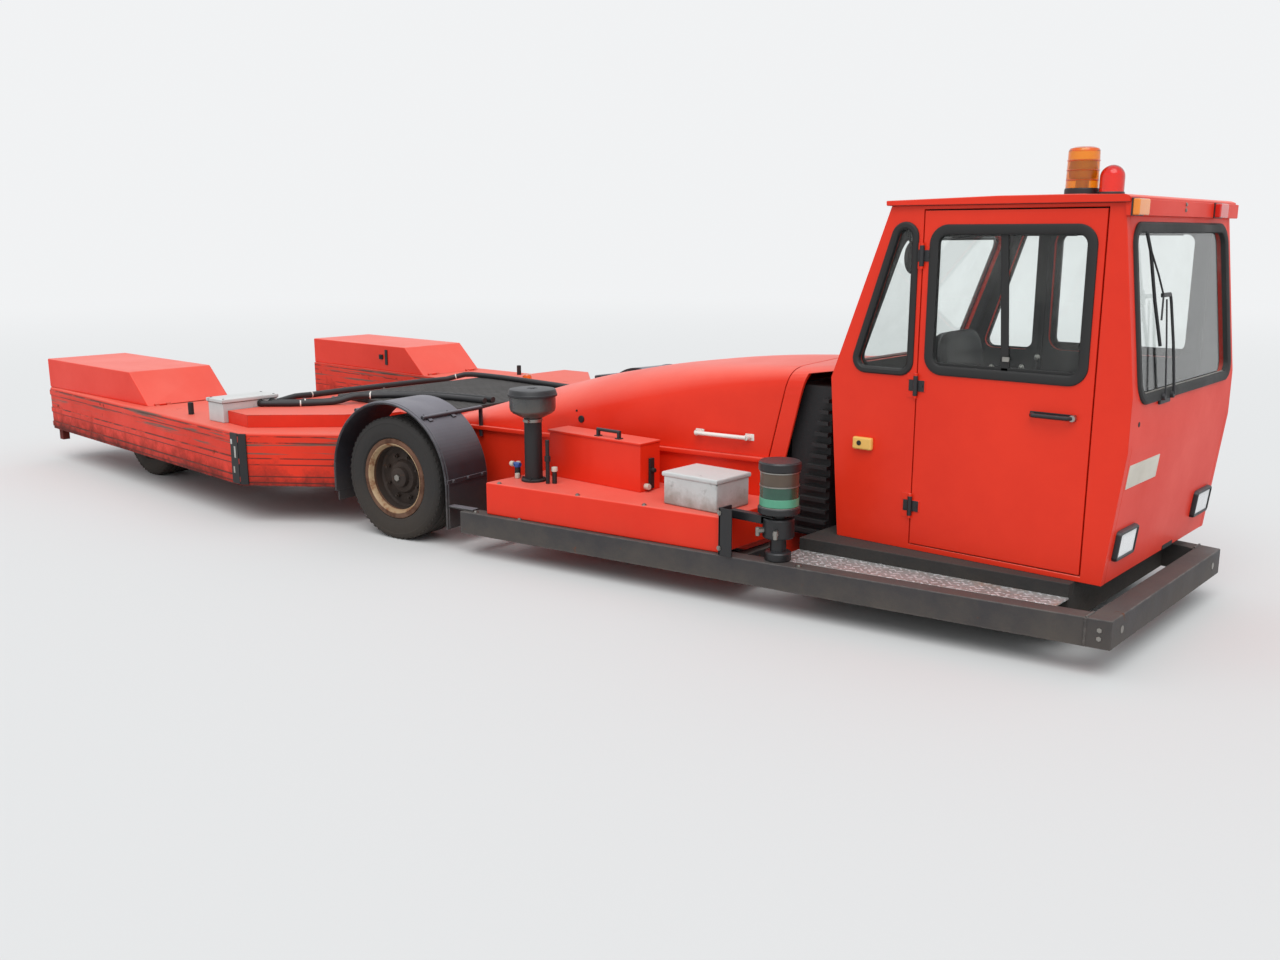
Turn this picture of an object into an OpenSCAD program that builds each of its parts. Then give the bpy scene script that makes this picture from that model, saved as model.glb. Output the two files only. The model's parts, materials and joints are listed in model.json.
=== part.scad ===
/* [Chassis] */
// Steered axle to rear wheels
wheelbase = 2800; // [2600:10:3200]
// Steered axle to the front of the bumper
front_overhang = 3905; // [3700:5:4200]
// Rear wheels to the ends of the arms
rear_overhang = 1185; // [1150:5:1250]
// Height of the frame's underside over the ground
frame_z = 123; // [100:1:150]
// Height of the rails and the bumper
rail_h = 122; // [100:1:130]
// Width of a rail
rail_w = 90; // [70:1:110]
// Depth of the bumper beam
bumper_d = 100; // [80:1:130]
// Half width of the frame across the bumper
bumper_half_w = 715; // [700:1:760]
// Half width of the frame at the rails' rear end
rail_rear_half_w = 1209; // [1180:1:1240]
// Rails' rear end ahead of the steered axle
rail_rear_gap = 571; // [540:1:650]

/* [Wheels] */
// Tyre diameter
tyre_d = 710; // [680:2:730]
// Tyre width
tyre_w = 256; // [240:2:266]
// Diameter of the rim's flanges
rim_flange_d = 464; // [430:2:480]
// Diameter of the rim's barrel
rim_barrel_d = 400; // [380:2:410]
// Wall of the rim
rim_t = 14; // [10:1:18]
// Distance between the steered tyres' middles
steer_track = 2254; // [2240:2:2270]
// Distance between the rear tyres' middles
rear_track = 2380; // [2360:2:2400]
// Angle at which the steered wheels stand
parked_steer = 8.5; // [0:0.5:12]
// Kingpin inboard of the tyre's middle
kingpin_inset = 107; // [100:1:112]
// Radius of the kingpin
kingpin_r = 30; // [26:1:34]
// Radius of a stub axle
stub_r = 40; // [35:1:45]
// Radial clearance of a pin in its bore
pin_fit = 0.08; // [0.05:0.01:0.1]
// Inner radius of a fender
fender_r = 430; // [420:1:440]
// Thickness of a fender
fender_t = 14; // [10:1:18]
// Width of a fender
fender_w = 340; // [320:2:360]

/* [Engine bay] */
// Engine bay wall inboard of the rail's outer face
bay_inset = 550; // [520:2:600]
// Thickness of the bay's walls
bay_t = 20; // [12:1:25]
// Height of the bay's flange, on which the hood lies
flange_z = 620; // [600:2:640]
// Bay's rear end ahead of the steered axle
bay_rear_gap = 100; // [95:1:120]
// Hood's rear edge behind the steered axle
hood_rear_gap = 90; // [60:5:120]
// Hood's front edge ahead of the steered axle, at the flange
hood_front_gap = 2062; // [2040:2:2080]
// Lean of the hood's front edge, top ahead of flange
hood_lean = 118; // [60:2:140]
// Height of the hood's front edge over the flange
hood_rise = 478; // [440:2:510]
// Thickness of the hood
hood_t = 14; // [10:1:20]
// Length of the fixed strip ahead of the hood
strip_l = 100; // [80:1:115]

/* [Side decks] */
// Height of the red side boxes
side_box_h = 175; // [150:1:190]
// Side box's rear end ahead of the rail's rear end
side_box_gap = 160; // [120:2:200]
// Length of the side boxes
side_box_l = 1434; // [1400:2:1500]
// Side box's face inboard of the rail's face
side_box_inset = 28; // [20:1:40]
// Width of the battery box
battery_w = 155; // [140:1:160]
// Length of the battery box
battery_l = 664; // [600:2:680]
// Height of the battery box
battery_h = 245; // [220:1:260]
// Radius of the air stack
stack_r = 47; // [42:1:52]
// Radius of the precleaner's bowl
bowl_r = 122; // [115:1:128]

/* [Cab] */
// Cab's right face to the vehicle's middle
cab_right = 479; // [470:1:490]
// Width of the cab
cab_w = 1370; // [1340:2:1390]
// Height of the cab's underside
cab_z = 304; // [298:1:310]
// Height of the cab's walls
cab_h = 1540; // [1520:2:1560]
// Bumper's front to the cab's front
cab_setback = 77; // [70:1:110]
// Length of the cab at its waist
cab_l = 1387; // [1370:1:1400]
// Waist of the cab over its underside
waist_h = 758; // [740:2:780]
// Thickness of walls and doors
wall_t = 40; // [34:1:46]
// Thickness of the roof
roof_t = 22; // [18:1:28]
// Width of a door
door_w = 782; // [760:2:790]
// Gap round a door
door_gap = 6; // [5:0.5:8]
// Thickness of a pane
pane_t = 6; // [5:1:8]

/* [Fork] */
// Half width of the bay between the arms
bay_half_w = 870; // [860:1:890]
// Half width over the arms' corners
corner_half_w = 1641; // [1620:1:1660]
// Half width over the arms' ends
end_half_w = 1498; // [1480:1:1520]
// Corners behind the steered axle
corner_back = 947; // [900:1:1000]
// Underside of the arms
arm_z = 238; // [225:1:250]
// Height of the arms
arm_h = 323; // [310:1:335]
// Bay's front end behind the steered axle
bay_back = 1540; // [1500:5:1580]
// Length of a wheel cover
cover_l = 1595; // [1560:5:1640]
// Height of a wheel cover
cover_h = 219; // [205:1:230]
// Run of a cover's slope
cover_slope = 245; // [220:5:270]
// Sheet of a cover
cover_t = 10; // [8:1:14]
// Height of the neck's deck over the arms' top
deck_rise = 79; // [60:1:90]

/* [Cradle] */
// Length of the cradle
cradle_l = 1300; // [1200:10:1400]
// Half width of the cradle
cradle_half_w = 800; // [780:1:820]
// Height of the cradle's underside
cradle_z = 90; // [80:1:110]
// Plate of the cradle
cradle_t = 25; // [20:1:30]
// Height of the cradle's cheeks
cheek_h = 230; // [200:5:260]

/* [Hidden] */
$fn = 64;

// Clearance at which a loose piece lies on its seat
seat_gap = 0.3;
// Smallest gap between moving pieces
move_gap = 6;

// Stations along X
rear_end = -(front_overhang + wheelbase + rear_overhang) / 2;
front_end = -rear_end;
rear_axle_x = rear_end + rear_overhang;
steer_x = rear_axle_x + wheelbase;
rail_rear_x = steer_x + rail_rear_gap;
bay_rear_x = steer_x + bay_rear_gap;
hood_front_x = steer_x + hood_front_gap;
corner_x = steer_x - corner_back;
bay_front_x = steer_x - bay_back;
hub_z = tyre_d / 2;
rail_top = frame_z + rail_h;
arm_top = arm_z + arm_h;

// The rails close in towards the bumper, and the bay walls run beside them
taper = (rail_rear_half_w - bumper_half_w) / (front_end - rail_rear_x);
taper_deg = atan(taper);
function rail_y(x) = rail_rear_half_w - taper * (x - rail_rear_x);
function bay_y(x) = rail_y(x) - bay_inset;

// Cab stations
cab_front_x = front_end - cab_setback;
cab_rear_x = cab_front_x - cab_l;
cab_left = cab_w - cab_right;
cab_mid = (cab_left - cab_right) / 2;
cab_top = cab_z + cab_h;
waist_z = cab_z + waist_h;
cab_floor_z = cab_z + wall_t - 1;
in_right = -cab_right + wall_t;
in_left = cab_left - wall_t;

module both_sides() {
    children();
    mirror([0, 1, 0]) children();
}
// Extrudes an outline of X and Z across Y, from y0 to y1
module across(y0, y1) {
    translate([0, y1, 0]) rotate([90, 0, 0]) linear_extrude(y1 - y0) children();
}
// A closed loft: each section is a list of points, and all have the same count
module loft(sections) {
    n = len(sections[0]);
    m = len(sections);
    polyhedron(
        points = [for (s = sections) each s],
        faces = concat(
            [[for (k = [0 : n - 1]) k]],
            [for (i = [0 : m - 2], k = [0 : n - 1], half = [0, 1])
                let (a = i * n + k, b = i * n + (k + 1) % n)
                half == 0 ? [a, a + n, b] : [b, a + n, b + n]],
            [[for (k = [n - 1 : -1 : 0]) (m - 1) * n + k]]));
}
// Hinge barrels along Z, out from a face that looks along -Y: the middle one on the moving piece, or the
// two ends on the fixed piece. Each has a leaf, towards +X when moving and towards -X when fixed.
hinge_r = 8;
hinge_off = 9.5;
hinge_mid = 50;
hinge_end = 30;
module hinge_piece(z, h, dir) translate([0, 0, z - h / 2]) {
    cylinder(r = hinge_r, h = h, $fn = 24);
    translate([dir > 0 ? 0 : -45, hinge_off - 3, 0]) cube([45, 4, h]);
}
module hinge_moving() hinge_piece(0, hinge_mid, 1);
module hinge_fixed() for (k = [-1, 1]) hinge_piece(k * (hinge_mid + hinge_end + 2) / 2, hinge_end, -1);
// Short hinge blocks for a piece that lies on another: barrels along Z with a foot towards +X
module foot_piece(z, h, dir, low) translate([0, 0, z - h / 2]) {
    cylinder(r = hinge_r, h = h, $fn = 24);
    translate([dir > 0 ? 0 : -16, low, 0]) cube([dir > 0 ? 18 : 16, 8 - seat_gap, h]);
}
// A tube along a route, with eight sides
function unit(v) = v / norm(v);
function route_dir(p, i) = unit(p[min(i + 1, len(p) - 1)] - p[max(i - 1, 0)]);
function ring_at(p, i, r) = let (d = route_dir(p, i), u = unit(cross(d, [0, 0, 1])), v = cross(u, d))
    [for (a = [0 : 45 : 315]) p[i] + r * (cos(a) * u + sin(a) * v)];
module tube(route, r) loft([for (i = [0 : len(route) - 1]) ring_at(route, i, r)]);

// Front frame

outrigger_w = 60;
outrigger_h = 80;
outrigger_xs = [for (k = [0 : 2]) rail_rear_x + k * 0.231 * (front_end - rail_rear_x)];

module rail() translate([0, 0, frame_z]) {
    linear_extrude(rail_h) polygon([
        [rail_rear_x, rail_y(rail_rear_x) - rail_w], [rail_rear_x, rail_y(rail_rear_x)],
        [front_end - bumper_d, rail_y(front_end - bumper_d)],
        [front_end - bumper_d, rail_y(front_end - bumper_d) - rail_w]]);
    for (x = outrigger_xs) linear_extrude(outrigger_h) polygon([
        [x, bay_y(x)], [x, rail_y(x) - rail_w / 2],
        [x + outrigger_w, rail_y(x + outrigger_w) - rail_w / 2],
        [x + outrigger_w, bay_y(x + outrigger_w)]]);
}
module rail_left() color("dimgray") rail();
module rail_right() color("dimgray") mirror([0, 1, 0]) rail();

module bumper() color("dimgray") translate([0, 0, frame_z]) linear_extrude(rail_h) polygon([
    [front_end, -bumper_half_w], [front_end, bumper_half_w],
    [front_end - bumper_d, rail_y(front_end - bumper_d)],
    [front_end - bumper_d, -rail_y(front_end - bumper_d)]]);

base_rear_x = hood_front_x + strip_l + 230;
base_front_x = cab_front_x - 170;
sill_rear_y = cab_right + 155;
sill_front_y = cab_right + 51;

module cab_base() color("#202022") {
    translate([0, 0, frame_z]) linear_extrude(cab_z - frame_z) polygon([
        [base_rear_x, -sill_rear_y], [base_front_x, -sill_front_y],
        [base_front_x, rail_y(base_front_x) - rail_w - seat_gap],
        [base_rear_x, rail_y(base_rear_x) - rail_w - seat_gap]]);
    translate([cab_rear_x + rear_foot + wall_t + 3, in_right + seat_gap, cab_z - 1])
        cube([cab_l - rear_foot - front_foot - 2 * wall_t - 12, in_left - in_right - 2 * seat_gap, wall_t]);
}

step_t = 8;
module step_plate() color("silver") translate([0, 0, rail_top - step_t]) linear_extrude(step_t) polygon([
    [base_rear_x, -rail_y(base_rear_x) + rail_w], [base_front_x, -rail_y(base_front_x) + rail_w],
    [base_front_x, -sill_front_y], [base_rear_x, -sill_rear_y]]);

// Engine bay, hood and scuttle

bay_front_end = hood_front_x + strip_l;
engine_l = 1150;
engine_w = 600;
engine_h = 620;
engine_z = 220;
engine_gap = 860;
engine_x = bay_rear_x + engine_gap;
bearer_w = 80;

module bay_plan(inset) polygon([
    [bay_rear_x + inset, -bay_y(bay_rear_x) + inset], [bay_front_end - inset, -bay_y(bay_front_end) + inset],
    [bay_front_end - inset, bay_y(bay_front_end) - inset], [bay_rear_x + inset, bay_y(bay_rear_x) - inset]]);

module bay_walls() color("orangered") {
    translate([0, 0, frame_z]) linear_extrude(flange_z - frame_z) difference() {
        bay_plan(0);
        bay_plan(bay_t);
    }
    for (x = [engine_x + 60, engine_x + engine_l - 60 - bearer_w]) translate([0, 0, frame_z])
        linear_extrude(engine_z - frame_z) polygon([
            [x, -bay_y(x) + bay_t / 2], [x + bearer_w, -bay_y(x + bearer_w) + bay_t / 2],
            [x + bearer_w, bay_y(x + bearer_w) - bay_t / 2], [x, bay_y(x) - bay_t / 2]]);
}

module engine() color("#505356") translate([engine_x, -engine_w / 2, engine_z])
    cube([engine_l, engine_w, engine_h]);

hood_rear_x = steer_x - hood_rear_gap;
hood_l = hood_front_x - hood_rear_x;
hood_z = flange_z + seat_gap;
hood_crown = 0.05;
hood_steps = 20;
// At share t of the hood's length: share of its rise, roundness and lean of its section
function rise_at(t) = 0.08 + 1.75 * t - 0.925 * t * t + 0.095 * t * t * t;
function round_at(t) = 2.6 + 8.4 * t * t * t;
function lean_at(t) = hood_lean * t * t;
// Half section: an arch between the flanges, its top leaning forward
function arch(x, lean, half_w, rise, round, z) = [for (a = [0 : 9 : 180])
    let (c = pow(abs(cos(a)), 2 / round), h = pow(sin(a), 2 / round) * (1 - hood_crown * c * c))
    [x + lean * h, half_w * sign(cos(a)) * c, z + rise * h]];
function hood_section(t, inset, drop, ahead) =
    let (x = hood_rear_x + t * hood_l, rise = rise_at(t) * hood_rise, in_rise = max(rise - inset, 1))
    arch(x + ahead, lean_at(t) * rise_at(t) * in_rise / rise, bay_y(x) - inset, in_rise, round_at(t),
        hood_z - drop);

// Puts hinge blocks, drawn along Z, on an axis along Y
module along_y(x, y, z) translate([x, y, z]) rotate([90, 0, 0]) children();
HOOD_HINGES = [-400, 400];
module hood() color("orangered") {
    difference() {
        loft([for (i = [0 : hood_steps]) hood_section(i / hood_steps, 0, 0, 0)]);
        loft([for (i = [0 : hood_steps]) hood_section(i / hood_steps, hood_t, 1,
            i == 0 ? hood_t : i == hood_steps ? 3 : 0)]);
    }
    for (y = HOOD_HINGES) along_y(hood_rear_x - hinge_off, y, flange_z + hinge_r)
        foot_piece(0, hinge_mid, 1, -hinge_r + seat_gap);
}

scuttle_x = hood_front_x + move_gap;
scuttle_end_x = cab_rear_x - move_gap;
scuttle_rise = hood_rise + 22;
louvre_x = hood_front_x + strip_l;
opening_h = hood_rise - 38;
lean_slope = hood_lean / hood_rise;

module scuttle_skin(inset, past) {
    w = bay_y(hood_front_x) - inset;
    n = round_at(1);
    loft([arch(scuttle_x - past, hood_lean * (hood_rise - inset) / hood_rise, w, hood_rise - inset, n,
            flange_z - past),
        arch(scuttle_end_x + past, 0, w, scuttle_rise - inset, n, flange_z - past)]);
}
module scuttle() color("orangered") difference() {
    scuttle_skin(0, 0);
    scuttle_skin(hood_t, 1);
    across(-corner_half_w, corner_half_w) polygon([
        [louvre_x, flange_z - 1], [louvre_x + lean_slope * opening_h, flange_z + opening_h],
        [scuttle_end_x + 1, flange_z + opening_h + 26], [scuttle_end_x + 1, flange_z - 1]]);
}

louvre_n = 13;
louvre_pitch = 55;
radiator_half_w = bay_y(hood_front_x) - 60;
louvre_end_x = base_rear_x - seat_gap;
module louvres() color("#18181a") {
    translate([louvre_x, -radiator_half_w, rail_top])
        cube([louvre_end_x - louvre_x, 2 * radiator_half_w, flange_z - rail_top + opening_h - 60]);
    both_sides() for (k = [0 : louvre_n - 1]) across(radiator_half_w - 1, radiator_half_w + 35)
        translate([louvre_x + 30 + k * louvre_pitch * lean_slope, rail_top + 20 + k * louvre_pitch])
            square([louvre_end_x - louvre_x - 30 - k * louvre_pitch * lean_slope, 18]);
}

// Side decks

side_box_x = rail_rear_x + side_box_gap;
deck_z = rail_top + side_box_h;

module side_box() translate([0, 0, rail_top]) linear_extrude(side_box_h) polygon([
    [side_box_x, -rail_y(side_box_x) + side_box_inset],
    [side_box_x + side_box_l, -rail_y(side_box_x + side_box_l) + side_box_inset],
    [side_box_x + side_box_l, -bay_y(side_box_x + side_box_l) - seat_gap],
    [side_box_x, -bay_y(side_box_x) - seat_gap]]);
module side_box_right() color("orangered") side_box();
module side_box_left() color("orangered") mirror([0, 1, 0]) side_box();

stack_x = side_box_x + 158;
stack_y = -950;
bowl_z = deck_z + 345;
module precleaner() color("#232325") translate([stack_x, stack_y, deck_z]) {
    cylinder(r = stack_r + 22, h = 14);
    cylinder(r = stack_r, h = 346);
    translate([0, 0, 345]) cylinder(r1 = stack_r + 10, r2 = bowl_r, h = 38);
    translate([0, 0, 383]) cylinder(r = bowl_r, h = 78);
    translate([0, 0, 461]) cylinder(r1 = bowl_r + 10, r2 = bowl_r + 2, h = 40);
}

battery_x = side_box_x + 128;
battery_y = -800;
battery_wall = 12;
BATTERY_HINGES = [150, battery_l - 150];
// Puts hinge blocks, drawn along Z, on the lid's hinge axis along X
module at_lid_hinges() for (x = BATTERY_HINGES)
    translate([battery_x + x, battery_y + battery_w + hinge_off, deck_z + battery_h])
        rotate([0, 90, 0]) rotate([0, 0, -90]) children();
module battery_box() color("orangered") {
    at_lid_hinges() for (k = [-1, 1]) translate([0, 0, k * (hinge_mid + hinge_end + 2) / 2 - hinge_end / 2]) {
        cylinder(r = hinge_r, h = hinge_end, $fn = 24);
        cube([12, 7, hinge_end]);
    }
    difference() {
        translate([battery_x, battery_y, deck_z]) cube([battery_l, battery_w, battery_h]);
        translate([battery_x + battery_wall, battery_y + battery_wall, deck_z + battery_wall])
            cube([battery_l - 2 * battery_wall, battery_w - 2 * battery_wall, battery_h]);
    }
    translate([battery_x + 60, battery_y + battery_wall + 10, deck_z + battery_wall])
        cube([battery_l - 120, battery_w - 2 * battery_wall - 20, battery_h - 60]);
}
module battery_lid() color("orangered") {
    at_lid_hinges() translate([0, 0, -hinge_mid / 2]) {
        cylinder(r = hinge_r, h = hinge_mid, $fn = 24);
        translate([0, -7 - seat_gap, 0]) cube([16, 7, hinge_mid]);
    }
    translate([battery_x - 6, battery_y - 8, deck_z + battery_h + seat_gap]) {
        cube([battery_l + 12, battery_w + 6, 14]);
        translate([battery_l / 2 + 16, 22, 13]) difference() {
            cube([166, 12, 46]);
            translate([10, -1, 0]) cube([146, 14, 36]);
        }
    }
}

tool_l = 330;
tool_w = 260;
tool_h = 165;
tool_x = side_box_x + side_box_l - 396;
tool_y = -905;
module tool_box() color("lightgray") translate([tool_x, tool_y, deck_z]) {
    cube([tool_l, tool_w, tool_h - 25]);
    translate([-6, -6, tool_h - 26]) cube([tool_l + 12, tool_w + 12, 26]);
}

filter_r = 98;
filter_x = side_box_x + side_box_l + 254;
filter_y = -850;
post_out_y = filter_y - 125;
post_w = 90;
post_h = 230;
arm_w = 40;
arm_up = 170;
module fuel_filter() color("#1c2420") {
    translate([filter_x, filter_y, rail_top]) {
        cylinder(r = 62, h = 40);
        cylinder(r = 38, h = 240);
        translate([0, 0, 110]) cylinder(r = 74, h = 90);
        translate([0, 0, 225]) cylinder(r = filter_r, h = 32);
        translate([0, 0, 257]) cylinder(r = filter_r - 8, h = 172);
        translate([0, 0, 429]) cylinder(r = filter_r, h = 40);
    }
    post_x = side_box_x + side_box_l + seat_gap;
    translate([post_x, post_out_y, rail_top]) cube([12, post_w, post_h]);
    translate([post_x, post_out_y + post_w - 20, rail_top + arm_up]) cube([filter_x - post_x, arm_w, arm_w]);
    translate([filter_x - 60, post_out_y + post_w - 20, rail_top + arm_up]) cube([60, arm_w + 20, arm_w]);
}

// Centre body, deck plate and hoses

neck_half_w = 790;
neck_end_x = steer_x - 160;
neck_top = arm_top + deck_rise;
axle_clear_z = hub_z + 105;
module centre_body() color("orangered") {
    translate([bay_front_x, -bay_half_w, arm_z])
        cube([steer_x - 480 - bay_front_x, 2 * bay_half_w, neck_top - arm_z]);
    translate([steer_x - 481, -neck_half_w, arm_z])
        cube([neck_end_x - steer_x + 481, 2 * neck_half_w, neck_top - arm_z]);
    translate([neck_end_x - 1, -bay_y(bay_rear_x), axle_clear_z])
        cube([bay_rear_x - neck_end_x + 1, 2 * bay_y(bay_rear_x), flange_z - axle_clear_z]);
    for (y = HOOD_HINGES) along_y(hood_rear_x - hinge_off, y, flange_z + hinge_r)
        for (k = [-1, 1]) foot_piece(k * (hinge_mid + hinge_end + 2) / 2, hinge_end, -1, -hinge_r - 1);
    // Lugs and pins that carry the cradle
    for (y = pivot_ys) {
        for (lug_y = [y - lug_gap - lug_t, y + eye_w + lug_gap]) across(lug_y, lug_y + lug_t) {
            translate([pivot_x, pivot_z]) circle(r = pivot_r + 22);
            translate([pivot_x, pivot_z - 47]) square([bay_front_x + 1 - pivot_x, 94]);
        }
        across(y - lug_gap - lug_t, y + eye_w + lug_gap + lug_t) translate([pivot_x, pivot_z]) circle(r = pivot_r);
    }
}

plate_t = 30;
plate_half_w = neck_half_w - 80;
plate_x = bay_front_x + 270;
plate_bare = 150;
module deck_plate() color("#2b2b2e") translate([plate_x, -plate_half_w, neck_top])
    cube([hood_rear_x - 80 - plate_x, 2 * plate_half_w - plate_bare, plate_t]);

hose_r = 19;
arm_deck_x = bay_front_x + 214;
junction_box_y = -corner_half_w + 131;
hose_z = neck_top + hose_r + seat_gap;
hose_up_z = hose_z + plate_t;
// Where the hoses leave the junction box, seen from the steered axle: its front face and its inner side
out_x = arm_deck_x - 8 + 1 - steer_x;
out_y = junction_box_y + 380 + 1;
out_z = arm_top + 84;
// Loom along the neck's rear edge and forward over the plate, and two hoses out of the junction box,
// seen from the steered axle
HOSES = [
    [[out_x - 87, out_y, out_z], [out_x - 87, out_y + 25, out_z], [out_x - 92, out_y + 90, out_z + 4],
        [-1435, -930, hose_z + 4], [-1450, -800, hose_z], [-1470, -500, hose_z], [-1470, -100, hose_z],
        [-1465, 200, hose_z], [-1440, 360, hose_z], [-1360, 470, hose_up_z], [-1240, 520, hose_up_z],
        [-1020, 530, hose_up_z], [-740, 515, hose_up_z], [-440, 490, hose_up_z], [-180, 460, hose_up_z]],
    [[out_x, out_y - 121, out_z + 16], [out_x + 25, out_y - 121, out_z + 16], [-1260, -1200, hose_z],
        [-1140, -1080, hose_z], [-1040, -900, hose_z], [-970, -790, hose_up_z], [-920, -700, hose_up_z],
        [-800, -560, hose_up_z], [-600, -440, hose_up_z], [-340, -380, hose_up_z], [-180, -360, hose_up_z]],
    [[out_x, out_y - 41, out_z + 16], [out_x + 25, out_y - 41, out_z + 16], [-1270, -1140, hose_z],
        [-1180, -1020, hose_z], [-1100, -880, hose_z], [-1030, -770, hose_up_z], [-970, -660, hose_up_z],
        [-840, -500, hose_up_z], [-620, -370, hose_up_z], [-340, -300, hose_up_z], [-180, -290, hose_up_z]]];
module deck_hoses() color("#151516") for (route = HOSES) translate([steer_x, 0, 0]) tube(route, hose_r);

// Steered axle

kingpin_y = steer_track / 2 - kingpin_inset;
eye_r = 52;
eye_h = 180;
beam_w = 150;
ear_h = 30;
ear_gap = 3;
rim_w = tyre_w - 28;
web_y = eye_r + 10;
web_t = 20;

module steer_axle() color("#2a2a2c") {
    difference() {
        union() {
            translate([steer_x - beam_w / 2, -kingpin_y + 40, hub_z - 75]) cube([beam_w, 2 * kingpin_y - 80, 150]);
            both_sides() translate([steer_x, kingpin_y, hub_z - eye_h / 2]) cylinder(r = eye_r, h = eye_h);
        }
        both_sides() translate([steer_x, kingpin_y, 0]) cylinder(r = kingpin_r + pin_fit, h = 2 * hub_z);
    }
    both_sides() translate([steer_x - 80, 380, hub_z + 74]) cube([160, 160, axle_clear_z - hub_z - 74]);
}

// Built for the left wheel, with the kingpin on the Z axis and straight ahead
module knuckle() {
    translate([0, 0, -eye_h / 2 - ear_gap - ear_h]) cylinder(r = kingpin_r, h = eye_h + 2 * (ear_gap + ear_h));
    for (z = [-eye_h / 2 - ear_gap - ear_h, eye_h / 2 + ear_gap]) translate([0, 0, z]) {
        cylinder(r = kingpin_r + 18, h = ear_h);
        translate([-kingpin_r - 10, 0, 0]) cube([2 * kingpin_r + 20, web_y + web_t, ear_h]);
    }
    translate([-kingpin_r - 10, web_y, -eye_h / 2 - ear_gap - ear_h])
        cube([2 * kingpin_r + 20, web_t, eye_h + 2 * (ear_gap + ear_h)]);
    translate([0, web_y, 0]) rotate([-90, 0, 0]) cylinder(r = stub_r, h = kingpin_inset + 45 - web_y);
}

// Rim and tyre, with the wheel's axis along Y, its outside towards +Y and its middle at the origin
module rim() rotate([-90, 0, 0]) {
    rotate_extrude($fn = 96) polygon([
        [rim_barrel_d / 2 - rim_t, -rim_w / 2], [rim_flange_d / 2, -rim_w / 2],
        [rim_flange_d / 2, -rim_w / 2 + 8], [rim_barrel_d / 2, -rim_w / 2 + 8],
        [rim_barrel_d / 2, rim_w / 2 - 8], [rim_flange_d / 2, rim_w / 2 - 8],
        [rim_flange_d / 2, rim_w / 2], [rim_barrel_d / 2 - rim_t, rim_w / 2]]);
    rotate_extrude() polygon([
        [stub_r + pin_fit, 4], [stub_r + pin_fit, 40], [85, 40], [92, 20], [rim_barrel_d / 2 - rim_t + 1, 20],
        [rim_barrel_d / 2 - rim_t + 1, 4]]);
}
bead_y = rim_w / 2 - 8 - seat_gap;
module tyre() rotate([-90, 0, 0]) rotate_extrude($fn = 96) polygon([
    [rim_barrel_d / 2 + seat_gap, -bead_y], [rim_flange_d / 2 + seat_gap, -bead_y],
    [rim_flange_d / 2 + seat_gap, -rim_w / 2], [rim_flange_d / 2 + 22, -tyre_w / 2],
    [tyre_d / 2 - 60, -tyre_w / 2], [tyre_d / 2 - 16, -tyre_w / 2 + 8], [tyre_d / 2, -tyre_w / 2 + 24],
    [tyre_d / 2, tyre_w / 2 - 24], [tyre_d / 2 - 16, tyre_w / 2 - 8], [tyre_d / 2 - 60, tyre_w / 2],
    [rim_flange_d / 2 + 22, tyre_w / 2], [rim_flange_d / 2 + seat_gap, rim_w / 2],
    [rim_flange_d / 2 + seat_gap, bead_y], [rim_barrel_d / 2 + seat_gap, bead_y]]);

// Puts a piece built for a left wheel at a steered wheel's kingpin
module at_kingpin(side) translate([steer_x, side * kingpin_y, hub_z]) rotate([0, 0, parked_steer])
    mirror([0, side < 0 ? 1 : 0, 0]) children();
module at_steered_wheel(side) at_kingpin(side) translate([0, kingpin_inset, 0]) children();
module at_rear_wheel(side) translate([rear_axle_x, side * rear_track / 2, hub_z])
    mirror([0, side < 0 ? 1 : 0, 0]) children();

module knuckle_right() color("#333336") at_kingpin(-1) knuckle();
module knuckle_left() color("#333336") at_kingpin(1) knuckle();
module tyre_front_right() color("#1b1b1c") at_steered_wheel(-1) tyre();
module tyre_front_left() color("#1b1b1c") at_steered_wheel(1) tyre();
module rim_front_right() color("#8a6a4c") at_steered_wheel(-1) rim();
module rim_front_left() color("#8a6a4c") at_steered_wheel(1) rim();
module wheel_rear_right() color("#1b1b1c") at_rear_wheel(-1) {
    tyre();
    rim();
}
module wheel_rear_left() color("#1b1b1c") at_rear_wheel(1) {
    tyre();
    rim();
}

// Fender of the left wheel: its middle over the hub, in line with the rail
flap_z = -235;
rod_r = 12;
rod_deg = 55;
rod_reach = fender_r + fender_t + rod_r - 2;
// Planes of the rail's and the bay wall's outer faces, and of the neck's side, out from the hub
rail_plane = (rail_rear_half_w - steer_track / 2) * cos(taper_deg) + rail_rear_gap * sin(taper_deg);
wall_plane = rail_plane - bay_inset * cos(taper_deg);
neck_plane = (neck_half_w + rod_r + seat_gap - steer_track / 2) / cos(taper_deg)
    - rod_reach * cos(rod_deg) * tan(taper_deg);
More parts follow.
